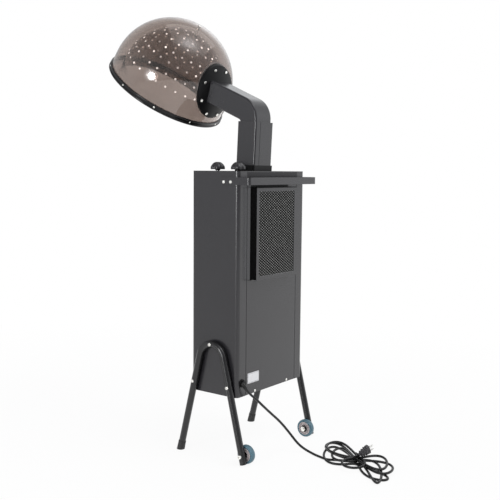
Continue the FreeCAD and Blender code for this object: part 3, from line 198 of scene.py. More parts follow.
def tube_faces(rows, columns):
    """Faces of a tube stored ring by ring, with a flat cap on either end."""
    count = rows * columns
    caps = [list(range(columns)), list(range(count - 1, count - columns - 1, -1))]
    return grid_faces(rows, columns, close_columns=True) + caps


def revolved(profile, steps, ripple=None):
    """Points of a profile turned about Z.

    Row a of the grid is the profile (radius, height) turned by 2 pi a / steps. A ripple, when
    given, is a function of the turn and the profile that returns a factor for the radius.
    """
    profile = np.asarray(profile, float)
    turn = np.linspace(0, 2 * np.pi, steps, endpoint=False)[:, None]
    radius = np.broadcast_to(profile[:, 0], (steps, len(profile)))
    if ripple is not None:
        radius = radius * ripple(turn, profile)
    height = np.broadcast_to(profile[:, 1], radius.shape)
    return np.stack([radius * np.cos(turn), radius * np.sin(turn), height], -1)


def placed(points, matrix):
    """Points moved by a 4x4 matrix."""
    matrix = np.array(matrix, float)
    return np.asarray(points, float).reshape(-1, 3) @ matrix[:3, :3].T + matrix[:3, 3]


def axis_frame(origin, axis):
    """Matrix whose Z runs along an axis from an origin."""
    turn = Vector(axis).normalized().to_track_quat("Z", "Y").to_matrix().to_4x4()
    return Matrix.Translation(Vector(origin)) @ turn


def smooth_profile(points, levels=2):
    """Rounds an open profile by Chaikin's corner cutting: each corner gives way to two points."""
    points = np.asarray(points, float)
    for _ in range(levels):
        a, b = points[:-1], points[1:]
        cut = np.stack([0.75 * a + 0.25 * b, 0.25 * a + 0.75 * b], 1).reshape(-1, points.shape[1])
        points = np.concatenate([points[:1], cut, points[-1:]])
    return points


# ---- shader node groups --------------------------------------------------------------------
def new_group(name, inputs, outputs):
    """An empty shader group with named sockets, and its two end nodes."""
    group = bpy.data.node_groups.new(name, "ShaderNodeTree")
    for label, kind, value in inputs:
        socket = group.interface.new_socket(label, in_out="INPUT", socket_type=kind)
        if value is not None:
            socket.default_value = value
    for label, kind in outputs:
        group.interface.new_socket(label, in_out="OUTPUT", socket_type=kind)
    return group, group.nodes.new("NodeGroupInput"), group.nodes.new("NodeGroupOutput")


def add(tree, kind, links=(), **values):
    """Adds a node, sets its values by attribute or by socket name and links sockets into it."""
    node = tree.nodes.new(kind)
    for key, value in values.items():
        if hasattr(node, key):
            setattr(node, key, value)
        else:
            node.inputs[key.replace("_", " ")].default_value = value
    for source, target in links:
        tree.links.new(source, node.inputs[target])
    return node


def math_node(tree, operation, first, second=None):
    """Output of a Math node; its inputs are sockets or numbers."""
    node = tree.nodes.new("ShaderNodeMath")
    node.operation = operation
    for slot, value in enumerate((first, second)):
        if value is None:
            continue
        if isinstance(value, (int, float)):
            node.inputs[slot].default_value = value
        else:
            tree.links.new(value, node.inputs[slot])
    return node.outputs[0]


def ranged(tree, value, low, high, to_low, to_high):
    """Maps a value from one range to another."""
    node = add(tree, "ShaderNodeMapRange", [(value, "Value")])
    for label, number in (("From Min", low), ("From Max", high), ("To Min", to_low), ("To Max", to_high)):
        node.inputs[label].default_value = number
    return node.outputs["Result"]


def mixed(tree, factor, first, second):
    """Colour between two colours; each may be a socket or a tuple."""
    node = tree.nodes.new("ShaderNodeMix")
    node.data_type = "RGBA"
    for index, value in ((0, factor), (6, first), (7, second)):
        if isinstance(value, bpy.types.NodeSocket):
            tree.links.new(value, node.inputs[index])
        elif index == 0:
            node.inputs[0].default_value = value
        else:
            node.inputs[index].default_value = (*value[:3], 1.0)
    return node.outputs[2]


def grain_group():
    """Fine cellular grain of powder coat and moulded plastic: noise crossed with small cells."""
    group, ins, outs = new_group(
        "fine_grain",
        [("Scale", "NodeSocketFloat", 900.0), ("Cells", "NodeSocketFloat", 0.5)],
        [("Height", "NodeSocketFloat"), ("Mask", "NodeSocketFloat")])
    place = add(group, "ShaderNodeTexCoord").outputs["Object"]
    noise = add(group, "ShaderNodeTexNoise", [(place, "Vector"), (ins.outputs["Scale"], "Scale")],
                Detail=3.0, Roughness=0.55)
    cells = add(group, "ShaderNodeTexVoronoi", [(place, "Vector"), (ins.outputs["Scale"], "Scale")])
    cells.feature = "SMOOTH_F1"
    share = math_node(group, "MULTIPLY", cells.outputs["Distance"], ins.outputs["Cells"])
    height = math_node(group, "ADD", noise.outputs["Fac"], share)
    group.links.new(height, outs.inputs["Height"])
    group.links.new(ranged(group, noise.outputs["Fac"], 0.35, 0.65, 0.0, 1.0), outs.inputs["Mask"])
    return group


def mottle_group():
    """Slow drift between two colours, with a little dust on faces that look up."""
    group, ins, outs = new_group(
        "mottle",
        [("Colour", "NodeSocketColor", (0.5, 0.5, 0.5, 1)), ("Drift", "NodeSocketColor", (0.4, 0.4, 0.4, 1)),
         ("Scale", "NodeSocketFloat", 9.0), ("Dust", "NodeSocketFloat", 0.1)],
        [("Colour", "NodeSocketColor"), ("Mask", "NodeSocketFloat")])
    place = add(group, "ShaderNodeTexCoord").outputs["Object"]
    drift = add(group, "ShaderNodeTexNoise", [(place, "Vector"), (ins.outputs["Scale"], "Scale")],
                Detail=4.0, Roughness=0.6)
    mask = ranged(group, drift.outputs["Fac"], 0.3, 0.7, 0.0, 1.0)
    base = mixed(group, mask, ins.outputs["Colour"], ins.outputs["Drift"])
    normal = add(group, "ShaderNodeNewGeometry").outputs["Normal"]
    up = add(group, "ShaderNodeSeparateXYZ", [(normal, "Vector")]).outputs["Z"]
    speck = add(group, "ShaderNodeTexNoise", [(place, "Vector")], Scale=160.0, Detail=5.0, Roughness=0.7)
    settled = math_node(group, "MULTIPLY", ranged(group, up, 0.4, 1.0, 0.0, 1.0),
                        ranged(group, speck.outputs["Fac"], 0.45, 0.75, 0.0, 1.0))
    settled = math_node(group, "MULTIPLY", settled, ins.outputs["Dust"])
    dusty = mixed(group, settled, base, (0.42, 0.40, 0.37))
    group.links.new(dusty, outs.inputs["Colour"])
    group.links.new(mask, outs.inputs["Mask"])
    return group


def streak_group():
    """Fine parallel scratches of brushed or rolled metal: noise stretched along one direction."""
    group, ins, outs = new_group(
        "streaks",
        [("Stretch", "NodeSocketVector", (1.0, 1.0, 30.0)), ("Scale", "NodeSocketFloat", 60.0)],
        [("Height", "NodeSocketFloat"), ("Mask", "NodeSocketFloat")])
    place = add(group, "ShaderNodeTexCoord").outputs["Object"]
    along = add(group, "ShaderNodeVectorMath", [(place, 0), (ins.outputs["Stretch"], 1)])
    along.operation = "MULTIPLY"
    noise = add(group, "ShaderNodeTexNoise", [(along.outputs[0], "Vector"), (ins.outputs["Scale"], "Scale")],
                Detail=6.0, Roughness=0.65)
    group.links.new(noise.outputs["Fac"], outs.inputs["Height"])
    group.links.new(ranged(group, noise.outputs["Fac"], 0.35, 0.65, 0.0, 1.0), outs.inputs["Mask"])
    return group


GROUP_MAKERS = {"fine_grain": grain_group, "mottle": mottle_group, "streaks": streak_group}


def effect(tree, name, **values):
    """Places one of the shared node groups in a material, building it the first time."""
    group = bpy.data.node_groups.get(name) or GROUP_MAKERS[name]()
    node = tree.nodes.new("ShaderNodeGroup")
    node.node_tree = group
    for key, value in values.items():
        if isinstance(value, (tuple, list, Vector)) and len(value) == 3 and key != "Stretch":
            value = (*value, 1.0)
        node.inputs[key].default_value = value
    return node


# ---- materials -----------------------------------------------------------------------------
def blank_material(name):
    """A material with only its Principled shader, and that shader."""
    material = bpy.data.materials.new(name)
    material.use_nodes = True
    tree = material.node_tree
    shader = tree.nodes["Principled BSDF"]
    return material, tree, shader


def bump(tree, shader, height, strength, distance):
    """Raises the surface by a height mask, through a Bump node."""
    node = add(tree, "ShaderNodeBump", [(height, "Height")])
    node.inputs["Strength"].default_value = strength
    node.inputs["Distance"].default_value = distance
    tree.links.new(node.outputs["Normal"], shader.inputs["Normal"])


def coated(name, colour, rough=(0.38, 0.5), scale=900.0, relief=0.00006, dust=0.08, drift=0.86,
           cells=0.5, specular=0.5, metallic=0.0, drift_scale=9.0):
    """Paint, plastic or rubber: drifting colour, dust on top faces and a fine grain."""
    material, tree, shader = blank_material(name)
    tint = effect(tree, "mottle", Colour=tuple(colour), Drift=tuple(c * drift for c in colour),
                  Scale=drift_scale, Dust=dust)
    tree.links.new(tint.outputs["Colour"], shader.inputs["Base Color"])
    grain = effect(tree, "fine_grain", Scale=scale, Cells=cells)
    tree.links.new(ranged(tree, grain.outputs["Mask"], 0.0, 1.0, rough[0], rough[1]),
                   shader.inputs["Roughness"])
    bump(tree, shader, grain.outputs["Height"], 0.6, relief)
    shader.inputs["Specular IOR Level"].default_value = specular
    shader.inputs["Metallic"].default_value = metallic
    return material


def bare_metal(name, colour, rough=(0.22, 0.38), stretch=(1.0, 1.0, 30.0), scale=60.0, relief=0.00002):
    """Plain metal with fine scratches and a slightly uneven tone."""
    material, tree, shader = blank_material(name)
    marks = effect(tree, "streaks", Stretch=stretch, Scale=scale)
    dull = tuple(c * 0.72 for c in colour)
    tree.links.new(mixed(tree, marks.outputs["Mask"], colour, dull), shader.inputs["Base Color"])
    tree.links.new(ranged(tree, marks.outputs["Mask"], 0.0, 1.0, rough[0], rough[1]),
                   shader.inputs["Roughness"])
    bump(tree, shader, marks.outputs["Height"], 0.4, relief)
    shader.inputs["Metallic"].default_value = 1.0
    return material


def cabinet_paint(colours):
    """Fine-textured powder coat of the cabinet, mast, handle and filter frame."""
    return cabinet_coat("cabinet_paint", colours)


BLACK_AND_SHADE_TONE = (0.0012, 0.0012, 0.0014)       # tone of the black behind the filter's face and of the painted shade along its top edge and above it


def darkened(material, mask, tone):
    """Lets a finish go dark and lose its gloss where a mask is 1."""
    tree, shader = material.node_tree, material.node_tree.nodes["Principled BSDF"]
    paint = shader.inputs["Base Color"].links[0].from_socket
    tree.links.new(mixed(tree, mask, paint, tone), shader.inputs["Base Color"])
    tree.links.new(mask, shader.inputs["Metallic"])
    return material


def object_axes(tree):
    """X, Y and Z of the Object coordinates as three sockets."""
    place = add(tree, "ShaderNodeTexCoord").outputs["Object"]
    return add(tree, "ShaderNodeSeparateXYZ", [(place, "Vector")]).outputs


def cabinet_coat(name, colours):
    """The powder coat of the cabinet under a given material name."""
    return coated(name, colours.cabinet, rough=(0.22, 0.29), scale=1400.0, relief=0.00003, dust=0.04,
                  drift=0.93, cells=0.8)


def filter_finish(colours):
    """Filter frame: coated front face, painted black behind it, with painted shade along its top edge."""
    material = cabinet_coat("filter_finish", colours)
    tree = material.node_tree
    axes = object_axes(tree)
    high = corners("filter_frame")[1]
    behind = ranged(tree, axes["Y"], high[1] - 0.0012, high[1] - 0.0008, 1.0, 0.0)
    # painted shade along the top edge of the face
    edge = ranged(tree, axes["Z"], high[2] - 0.0030, high[2] - 0.0022, 0.0, 1.0)
    return darkened(material, math_node(tree, "MAXIMUM", behind, edge), BLACK_AND_SHADE_TONE)


def panel_finish(colours):
    """Back panel with a band of painted shade above the filter. No piece stands for the band."""
    material = cabinet_coat("panel_finish", colours)
    tree = material.node_tree
    axes = object_axes(tree)
    low, high = corners("filter_frame")
    # painted shade: a dark band just above the filter
    above = math_node(tree, "MULTIPLY", ranged(tree, axes["Z"], high[2] - 0.004, high[2] - 0.003, 0.0, 1.0),
                      ranged(tree, axes["Z"], high[2] + 0.008, high[2] + 0.009, 1.0, 0.0))
    across = math_node(tree, "MULTIPLY", ranged(tree, axes["X"], low[0] + 0.012, low[0] + 0.014, 0.0, 1.0),
                       ranged(tree, axes["X"], high[0] - 0.003, high[0] - 0.002, 1.0, 0.0))
    return darkened(material, math_node(tree, "MULTIPLY", above, across), BLACK_AND_SHADE_TONE)


def lid_finish(colours):
    """Lid with a rear band darkened as painted shade. The band is not a step in the shape."""
    material = cabinet_coat("lid_finish", colours)
    tree = material.node_tree
    axes = object_axes(tree)
    high = corners("top_plate")[1]
    # painted shade on the rear band, below the top edge
    rear = ranged(tree, axes["Y"], high[1] - 0.0012, high[1] - 0.0006, 0.0, 0.62)
    below = ranged(tree, axes["Z"], high[2] - 0.0035, high[2] - 0.0020, 1.0, 0.0)
    return darkened(material, math_node(tree, "MULTIPLY", rear, below), (0.0040, 0.0038, 0.0046))


def leg_paint(colours):
    """Satin paint of the leg tubes."""
    return coated("leg_paint", colours.leg, rough=(0.20, 0.28), scale=700.0, relief=0.00003, dust=0.04)


def black_plastic(colours):
    """Dull moulded plastic of collar, back plate and gland."""
    return coated("black_plastic", colours.plastic, rough=(0.30, 0.42), scale=1800.0, relief=0.00004,
                  dust=0.05, specular=0.15)


def duct_plastic(colours):
    """Satin moulded plastic of the arm."""
    return coated("duct_plastic", colours.duct, rough=(0.20, 0.27), scale=1200.0, relief=0.00003,
                  dust=0.03, drift=0.94)


def knob_plastic(colours):
    """Satin plastic of the two knobs."""
    return coated("knob_plastic", colours.knob, rough=(0.24, 0.34), scale=1500.0, relief=0.00004,
                  dust=0.12)


def smoked_acrylic(colours):
    """Clear smoked plastic: tinted transmission with hair-fine wiping marks in its gloss."""
    material, tree, shader = blank_material("smoked_acrylic")
    tint = effect(tree, "mottle", Colour=tuple(colours.smoke),
                  Drift=tuple(c * 0.975 for c in colours.smoke), Scale=5.0, Dust=0.0)
    tree.links.new(tint.outputs["Colour"], shader.inputs["Base Color"])
    marks = effect(tree, "streaks", Stretch=(1.0, 6.0, 1.0), Scale=30.0)
    tree.links.new(ranged(tree, marks.outputs["Mask"], 0.0, 1.0, 0.02, 0.05), shader.inputs["Roughness"])
    shader.inputs["Transmission Weight"].default_value = 1.0
    shader.inputs["IOR"].default_value = 1.49
    return material


def trim_rubber(colours):
    """Smooth rubber of the dome's rim trim."""
    return coated("trim_rubber", (0.0035, 0.0035, 0.0040), rough=(0.18, 0.28), scale=1300.0,
                  relief=0.00003, dust=0.04, specular=0.32)


def foot_rubber(colours):
    """Matt rubber of the feet."""
    return coated("foot_rubber", (0.009, 0.009, 0.009), rough=(0.5, 0.7), scale=900.0,
                  relief=0.00008, dust=0.15)


def wheel_tyre(colours):
    """Blue-grey soft tread, lightly scuffed."""
    return coated("wheel_tyre", colours.tyre, rough=(0.38, 0.55), scale=500.0, relief=0.00006,
                  dust=0.10, drift=0.82, drift_scale=60.0)


def hub_plastic(colours):
    """Pale plastic of the wheel hubs."""
    return coated("hub_plastic", colours.hub, rough=(0.35, 0.48), scale=1100.0, relief=0.00004,
                  dust=0.05, drift=0.9)


def zinc(colours):
    """Bright zinc of screws and bolts."""
    return bare_metal("zinc_screws", (0.93, 0.92, 0.88), rough=(0.20, 0.36), scale=140.0,
                      stretch=(1.0, 1.0, 1.0))


def bearing_steel(colours):
    """Steel of the wheel bearings, toned almost black as painted shade round the axle nuts."""
    # painted shade: the bearing steel is toned almost black
    return bare_metal("bearing_steel", (0.035, 0.034, 0.034), rough=(0.28, 0.42), scale=200.0)


def galvanised(colours):
    """Zinc-coated sheet with its crystal spangle: cells of slightly different tone."""
    material, tree, shader = blank_material("galvanised")
    place = add(tree, "ShaderNodeTexCoord").outputs["Object"]
    cells = add(tree, "ShaderNodeTexVoronoi", [(place, "Vector")], Scale=120.0)
    tone = add(tree, "ShaderNodeSeparateColor", [(cells.outputs["Color"], "Color")]).outputs["Red"]
    tree.links.new(mixed(tree, tone, (0.42, 0.43, 0.45), (0.60, 0.61, 0.62)), shader.inputs["Base Color"])
    tree.links.new(ranged(tree, tone, 0.0, 1.0, 0.28, 0.5), shader.inputs["Roughness"])
    marks = effect(tree, "streaks", Stretch=(1.0, 1.0, 12.0), Scale=80.0)
    bump(tree, shader, marks.outputs["Height"], 0.3, 0.00002)
    shader.inputs["Metallic"].default_value = 0.9
    return material


def mesh_steel(colours):
    """Expanded mesh with painted highlights on the knots where strands cross and painted shade on strand
    edges and cut sides.
    """
    material = coated("mesh_steel", (0.92, 0.92, 0.89), rough=(0.28, 0.42), scale=900.0, relief=0.00005,
                      dust=0.0, metallic=0.3)
    tree, shader = material.node_tree, material.node_tree.nodes["Principled BSDF"]
    bright = shader.inputs["Base Color"].links[0].from_socket
    centre = middle("filter_mesh")
    place = add(tree, "ShaderNodeTexCoord").outputs["Object"]
    axes = add(tree, "ShaderNodeSeparateXYZ", [(place, "Vector")])
    steps = [math_node(tree, "DIVIDE", math_node(tree, "SUBTRACT", axes.outputs[label], centre[index]), pitch)
             for label, index, pitch in (("X", 0, MESH_PITCH[0]), ("Z", 2, MESH_PITCH[1]))]
    strands = []
    for operation in ("ADD", "SUBTRACT"):
        phase = math_node(tree, "FRACT", math_node(tree, "ADD", math_node(tree, operation, *steps), 0.5))
        off = math_node(tree, "ABSOLUTE", math_node(tree, "SUBTRACT", phase, 0.5))
        strands.append(ranged(tree, off, 0.05, 0.13, 1.0, 0.0))
    # painted shade on strand edges and painted highlights on the knots
    knot = math_node(tree, "MULTIPLY", *strands)
    strand = mixed(tree, math_node(tree, "MAXIMUM", *strands), (0.002, 0.002, 0.002), (0.040, 0.040, 0.038))
    normal = add(tree, "ShaderNodeNewGeometry").outputs["Normal"]
    facing = add(tree, "ShaderNodeSeparateXYZ", [(normal, "Vector")]).outputs["Y"]
    # painted shade: faces turned away from the front go nearly black
    front = ranged(tree, facing, 0.6, 0.9, 0.0, 1.0)
    shown = mixed(tree, knot, strand, bright)
    tree.links.new(mixed(tree, front, (0.0015, 0.0015, 0.0015), shown), shader.inputs["Base Color"])
    dielectric = math_node(tree, "MULTIPLY", front, knot)
    tree.links.new(ranged(tree, dielectric, 0.0, 1.0, 1.0, 0.3), shader.inputs["Metallic"])
    return material


def foam(colours):
    """Open-cell foam: black pores with ragged rims.

    Glossy rays see a painted glow in place of the foam: a painted reflection that keeps the pad's
    mirror image out of the paint beside it.
    """
    material, tree, shader = blank_material("foam")
    place = add(tree, "ShaderNodeTexCoord").outputs["Object"]
    pores = add(tree, "ShaderNodeTexVoronoi", [(place, "Vector")], Scale=420.0)
    depth = ranged(tree, pores.outputs["Distance"], 0.0, 0.7, 0.0, 1.0)
    tree.links.new(mixed(tree, depth, (0.0004, 0.0004, 0.0004), (0.0030, 0.0030, 0.0032)),
                   shader.inputs["Base Color"])
    tree.links.new(ranged(tree, depth, 0.0, 1.0, 0.95, 0.75), shader.inputs["Roughness"])
    bump(tree, shader, depth, 1.0, 0.0006)
    shader.inputs["Specular IOR Level"].default_value = 0.06
    # painted reflection: glossy rays see this glow in place of the black foam
    glossy_glow = add(tree, "ShaderNodeEmission", Color=(0.97, 0.98, 1.0, 1), Strength=1.35)
    glossy = add(tree, "ShaderNodeLightPath").outputs["Is Glossy Ray"]
    both = add(tree, "ShaderNodeMixShader", [(glossy, 0), (shader.outputs[0], 1), (glossy_glow.outputs[0], 2)])
    out = next(node for node in tree.nodes if node.type == "OUTPUT_MATERIAL")
    tree.links.new(both.outputs[0], out.inputs["Surface"])
    return material


def plate_aluminium(colours):
    """Satin plate with a thin dark border and no lettering."""
    material, tree, shader = blank_material("plate_aluminium")
    low, high = corners("rating_plate")
    centre, size = (low + high) / 2, high - low
    place = add(tree, "ShaderNodeTexCoord").outputs["Object"]
    axes = add(tree, "ShaderNodeSeparateXYZ", [(place, "Vector")])
    inset, line = 0.0025, 0.0004
    edges = []
    for label, index in (("X", 0), ("Z", 2)):
        off = math_node(tree, "ABSOLUTE", math_node(tree, "SUBTRACT", axes.outputs[label], centre[index]))
        edges.append(math_node(tree, "SUBTRACT", size[index] / 2 - inset, off))
    nearest = math_node(tree, "MINIMUM", edges[0], edges[1])
    border = math_node(tree, "LESS_THAN", math_node(tree, "ABSOLUTE", nearest), line)
    marks = effect(tree, "streaks", Stretch=(30.0, 1.0, 1.0), Scale=70.0)
    satin = mixed(tree, marks.outputs["Mask"], (0.74, 0.74, 0.75), (0.58, 0.58, 0.60))
    tree.links.new(mixed(tree, border, satin, (0.12, 0.12, 0.13)), shader.inputs["Base Color"])
    tree.links.new(ranged(tree, marks.outputs["Mask"], 0.0, 1.0, 0.32, 0.46), shader.inputs["Roughness"])
    shader.inputs["Metallic"].default_value = 0.35
    bump(tree, shader, marks.outputs["Height"], 0.3, 0.00002)
    return material


def nylon(colours):
    """Off-white nylon of the liners."""
    return coated("nylon", (0.62, 0.60, 0.54), rough=(0.35, 0.5), scale=700.0, relief=0.00004, dust=0.02)


def mica(colours):
    """Pressed mica board with silvery flakes."""
    material, tree, shader = blank_material("mica")
    place = add(tree, "ShaderNodeTexCoord").outputs["Object"]
    flakes = add(tree, "ShaderNodeTexVoronoi", [(place, "Vector")], Scale=260.0)
    tone = add(tree, "ShaderNodeSeparateColor", [(flakes.outputs["Color"], "Color")]).outputs["Green"]
    tree.links.new(mixed(tree, tone, (0.30, 0.24, 0.16), (0.52, 0.45, 0.34)), shader.inputs["Base Color"])
    tree.links.new(ranged(tree, tone, 0.0, 1.0, 0.25, 0.6), shader.inputs["Roughness"])
    bump(tree, shader, flakes.outputs["Distance"], 0.4, 0.0001)
    return material


def heating_wire(colours):
    """Oxidised resistance wire."""
    return bare_metal("heating_wire", (0.22, 0.19, 0.18), rough=(0.4, 0.6), scale=300.0)


def motor_steel(colours):
    """Dark lacquered steel of the motor."""
    return coated("motor_steel", (0.05, 0.05, 0.055), rough=(0.3, 0.45), scale=800.0, relief=0.00005,
                  metallic=0.6)


def phenolic(colours):
    """Brown moulded phenolic of the electrical parts."""
    return coated("phenolic", (0.045, 0.022, 0.014), rough=(0.2, 0.32), scale=900.0, relief=0.00003,
                  drift=0.7)


def cord_jacket(colours):
    """Rubber jacket of cord, strain relief and plug."""
    return coated("cord_jacket", colours.cord, rough=(0.32, 0.44), scale=1500.0, relief=0.00004,
                  dust=0.04, drift=0.8, drift_scale=40.0, specular=0.35)


def cut_edge():
    """Drilled edge of clear plastic: most stay dull, some glow with painted glints."""
    material = coated("cut_edge", (0.06, 0.055, 0.05), rough=(0.30, 0.50), scale=2200.0, relief=0.00003,
                      dust=0.0, drift=0.9)
    tree, shader = material.node_tree, material.node_tree.nodes["Principled BSDF"]
    # painted glints: patchy emission on the hole edges
    painted_glints = effect(tree, "mottle", Colour=(-2.2, -2.2, -2.2), Drift=(1.7, 1.7, 1.7), Scale=30.0, Dust=0.0)
    tree.links.new(painted_glints.outputs["Colour"], shader.inputs["Emission Color"])
    shader.inputs["Emission Strength"].default_value = 2.0
    return material


def plug_rubber():
    """Moulded plug, greyer than the cord."""
    return coated("plug_rubber", (0.050, 0.048, 0.052), rough=(0.20, 0.28), scale=1200.0,
                  relief=0.00004, dust=0.10)


def pin_metal():
    """Bright plated pins of the plug."""
    made = bpy.data.materials.get("pin_metal")
    return made or coated("pin_metal", (0.86, 0.85, 0.82), rough=(0.22, 0.34), scale=900.0,
                          relief=0.00001, dust=0.0, metallic=0.5)


SLOT_FINISHES = {
    "cabinet_paint": cabinet_paint, "leg_paint": leg_paint, "black_plastic": black_plastic,
    "duct_plastic": duct_plastic, "smoked_dome": smoked_acrylic, "trim_rubber": trim_rubber,
    "foot_rubber": foot_rubber, "wheel_tyre": wheel_tyre, "hub_plastic": hub_plastic,
    "zinc_screws": zinc, "bearing_steel": bearing_steel, "galvanised": galvanised,
    "mesh_steel": mesh_steel, "foam": foam, "plate_aluminium": plate_aluminium, "nylon": nylon,
    "mica": mica, "heating_wire": heating_wire, "motor_steel": motor_steel, "phenolic": phenolic,
    "cord_rubber": cord_jacket,
}
OWN_FINISHES = {"filter_frame": filter_finish, "back_panel": panel_finish, "top_plate": lid_finish}
FINISHES = {}


# ---- stage ---------------------------------------------------------------------------------
FOCAL_PIXELS = 823.73          # focal length for a frame 500 pixels wide
FRAME_PIXELS = 500.0
SENSOR_MM = 36.0
VIEW_AZIMUTH = math.radians(126.983)
VIEW_DROP = math.radians(5.645)
VIEW_ROLL = math.radians(0.502)
EYE_MM = (2174.6, 1640.9, 923.9)
FLOOR_HALF = 9.0               # half the side of the floor, in metres


def view_axes():
    """Right, up and forward of the camera."""
    forward = Vector((-math.sin(VIEW_AZIMUTH) * math.cos(VIEW_DROP),
                      math.cos(VIEW_AZIMUTH) * math.cos(VIEW_DROP), -math.sin(VIEW_DROP)))
    right = forward.cross(Vector((0, 0, 1))).normalized()
    up = right.cross(forward)
    c, s = math.cos(VIEW_ROLL), math.sin(VIEW_ROLL)
    return right * c + up * s, up * c - right * s, forward


def make_camera():
    """The camera, at EYE_MM and turned by view_axes()."""
    camera = bpy.data.cameras.new("camera")
    camera.sensor_width = SENSOR_MM
    camera.lens = FOCAL_PIXELS / FRAME_PIXELS * SENSOR_MM
    camera.clip_end = 100.0
    right, up, forward = view_axes()
    turn = Matrix((right, up, -forward)).transposed().to_4x4()
    obj = bpy.data.objects.new("camera", camera)
    bpy.context.collection.objects.link(obj)
    obj.matrix_world = Matrix.Translation(machine_point(*EYE_MM)) @ turn
    bpy.context.scene.camera = obj


def see_through_ray(tree):
    """1 for rays that show the backdrop itself, straight or through clear plastic."""
    path = add(tree, "ShaderNodeLightPath")
    return math_node(tree, "MAXIMUM", path.outputs["Is Camera Ray"], path.outputs["Is Transmission Ray"])


# Soft lights far off, as direction, spread in degrees and strength.
GLOWS = (
    ((0.80, -0.60, -0.03), 24, 0.80),
    ((-0.80, 0.60, -0.08), 26, 1.30),
    ((-0.05, 0.52, 0.85), 9, 4.6),
    ((-0.05, 0.52, 0.85), 26, 0.5),
    ((-0.79, -0.34, 0.50), 12, 1.1),
    ((1.0, 0.02, 0.05), 5, 15.0),
)


def glow(tree, place, direction, spread, strength):
    """One soft light as seen in the direction of a ray: strength exp((cos angle - 1) / spread^2)."""
    toward = add(tree, "ShaderNodeVectorMath", [(place, 0)])
    toward.operation = "DOT_PRODUCT"
    toward.inputs[1].default_value = Vector(direction).normalized()
    away = math_node(tree, "SUBTRACT", toward.outputs["Value"], 1.0)
    fall = math_node(tree, "MULTIPLY", away, 1.0 / math.radians(spread) ** 2)
    return math_node(tree, "MULTIPLY", math_node(tree, "EXPONENT", fall), strength)


def make_world():
    """White backdrop to look at; a dim surround with soft glows to light and to reflect."""
    world = bpy.data.worlds.new("world")
    bpy.context.scene.world = world
    world.use_nodes = True
    tree = world.node_tree
    tree.nodes.clear()
    shown = add(tree, "ShaderNodeBackground", Color=(1, 1, 1, 1), Strength=1.0)
    place = add(tree, "ShaderNodeTexCoord").outputs["Generated"]
    up = add(tree, "ShaderNodeSeparateXYZ", [(place, "Vector")]).outputs["Z"]
    strength = ranged(tree, up, -0.1, 0.25, 0.12, 0.50)
    strength = math_node(tree, "SUBTRACT", strength, ranged(tree, up, 0.6, 0.95, 0.0, 0.25))
    for settings in GLOWS:
        strength = math_node(tree, "ADD", strength, glow(tree, place, *settings))
    lit = add(tree, "ShaderNodeBackground", [(strength, "Strength")], Color=(0.97, 0.98, 1.0, 1))
    mix = add(tree, "ShaderNodeMixShader",
              [(see_through_ray(tree), 0), (lit.outputs[0], 1), (shown.outputs[0], 2)])
    out = add(tree, "ShaderNodeOutputWorld")
    tree.links.new(mix.outputs[0], out.inputs[0])


def make_floor():
    """Pale floor: shaded near the machine, glowing plain white where it meets the backdrop."""
    material = bpy.data.materials.new("studio_floor")
    material.use_nodes = True
    tree = material.node_tree
    tree.nodes.clear()
    paint = add(tree, "ShaderNodeBsdfDiffuse", Color=(0.84, 0.84, 0.84, 1))
    plain = add(tree, "ShaderNodeEmission", Color=(1, 1, 1, 1), Strength=1.0)
    place = add(tree, "ShaderNodeTexCoord").outputs["Object"]
    away = add(tree, "ShaderNodeVectorMath", [(place, 0)])
    away.operation = "LENGTH"
    fade = ranged(tree, away.outputs["Value"], 0.9, 2.2, 0.92, 1.0)
    share = math_node(tree, "MULTIPLY", see_through_ray(tree), fade)
    shown = add(tree, "ShaderNodeMixShader", [(share, 0), (paint.outputs[0], 1), (plain.outputs[0], 2)])
    axes = add(tree, "ShaderNodeSeparateXYZ", [(place, "Vector")])
    slant = math_node(tree, "SUBTRACT", axes.outputs["X"], axes.outputs["Y"])
    glossy_glow = add(tree, "ShaderNodeEmission", [(ranged(tree, slant, -2.0, 2.0, 1.45, 1.05), "Strength")],
                   Color=(1, 1, 1, 1))
    glossy = add(tree, "ShaderNodeLightPath").outputs["Is Glossy Ray"]
    mix = add(tree, "ShaderNodeMixShader", [(glossy, 0), (shown.outputs[0], 1), (glossy_glow.outputs[0], 2)])
    out = add(tree, "ShaderNodeOutputMaterial")
    tree.links.new(mix.outputs[0], out.inputs[0])
    half = FLOOR_HALF
    points = [(-half, -half, 0), (half, -half, 0), (half, half, 0), (-half, half, 0)]
    floor = mesh_object("studio_floor", points, [(0, 1, 2, 3)], material)


def softbox(name, centre, target, size, power, shape="RECTANGLE"):
    """Area lamp facing a target; size is its width and height in metres."""
    lamp = bpy.data.lights.new(name, "AREA")
    lamp.shape = shape
    lamp.size = size[0]
    lamp.size_y = size[1]
    lamp.energy = power
    obj = bpy.data.objects.new(name, lamp)
    bpy.context.collection.objects.link(obj)
    centre, target = Vector(centre), Vector(target)
    turn = (target - centre).to_track_quat("-Z", "Y").to_matrix().to_4x4()
    obj.matrix_world = Matrix.Translation(centre) @ turn


def make_lamps():
    """A round lamp to the side and a broad one overhead that grounds the machine."""
    dome = Vector(middle("dome_outer_shell"))
    body = Vector(middle("cabinet_wrap"))
    softbox("round_side", dome + Vector((2.99, 0.26, 0.0)), dome, (0.75, 0.75), 24.0, "DISK")
    softbox("overhead", body + Vector((-1.0, 0.8, 3.8)), body, (3.6, 3.6), 26.0)


# ---- operators -----------------------------------------------------------------------------
def scene_colours():
    """The colours set in this scene."""
    return bpy.context.scene.processor_colours


def scene_sizes():
    """The sizes set in this scene."""
    return bpy.context.scene.processor_sizes


class PROCESSOR_OT_stage(bpy.types.Operator):
    """Camera, world, floor and lamps"""

    bl_idname = "processor.stage"
    bl_label = "Stage"

    def execute(self, context):
        make_camera()
        make_world()
        make_floor()
        make_lamps()
        context.scene.view_settings.view_transform = "Standard"
        return {"FINISHED"}


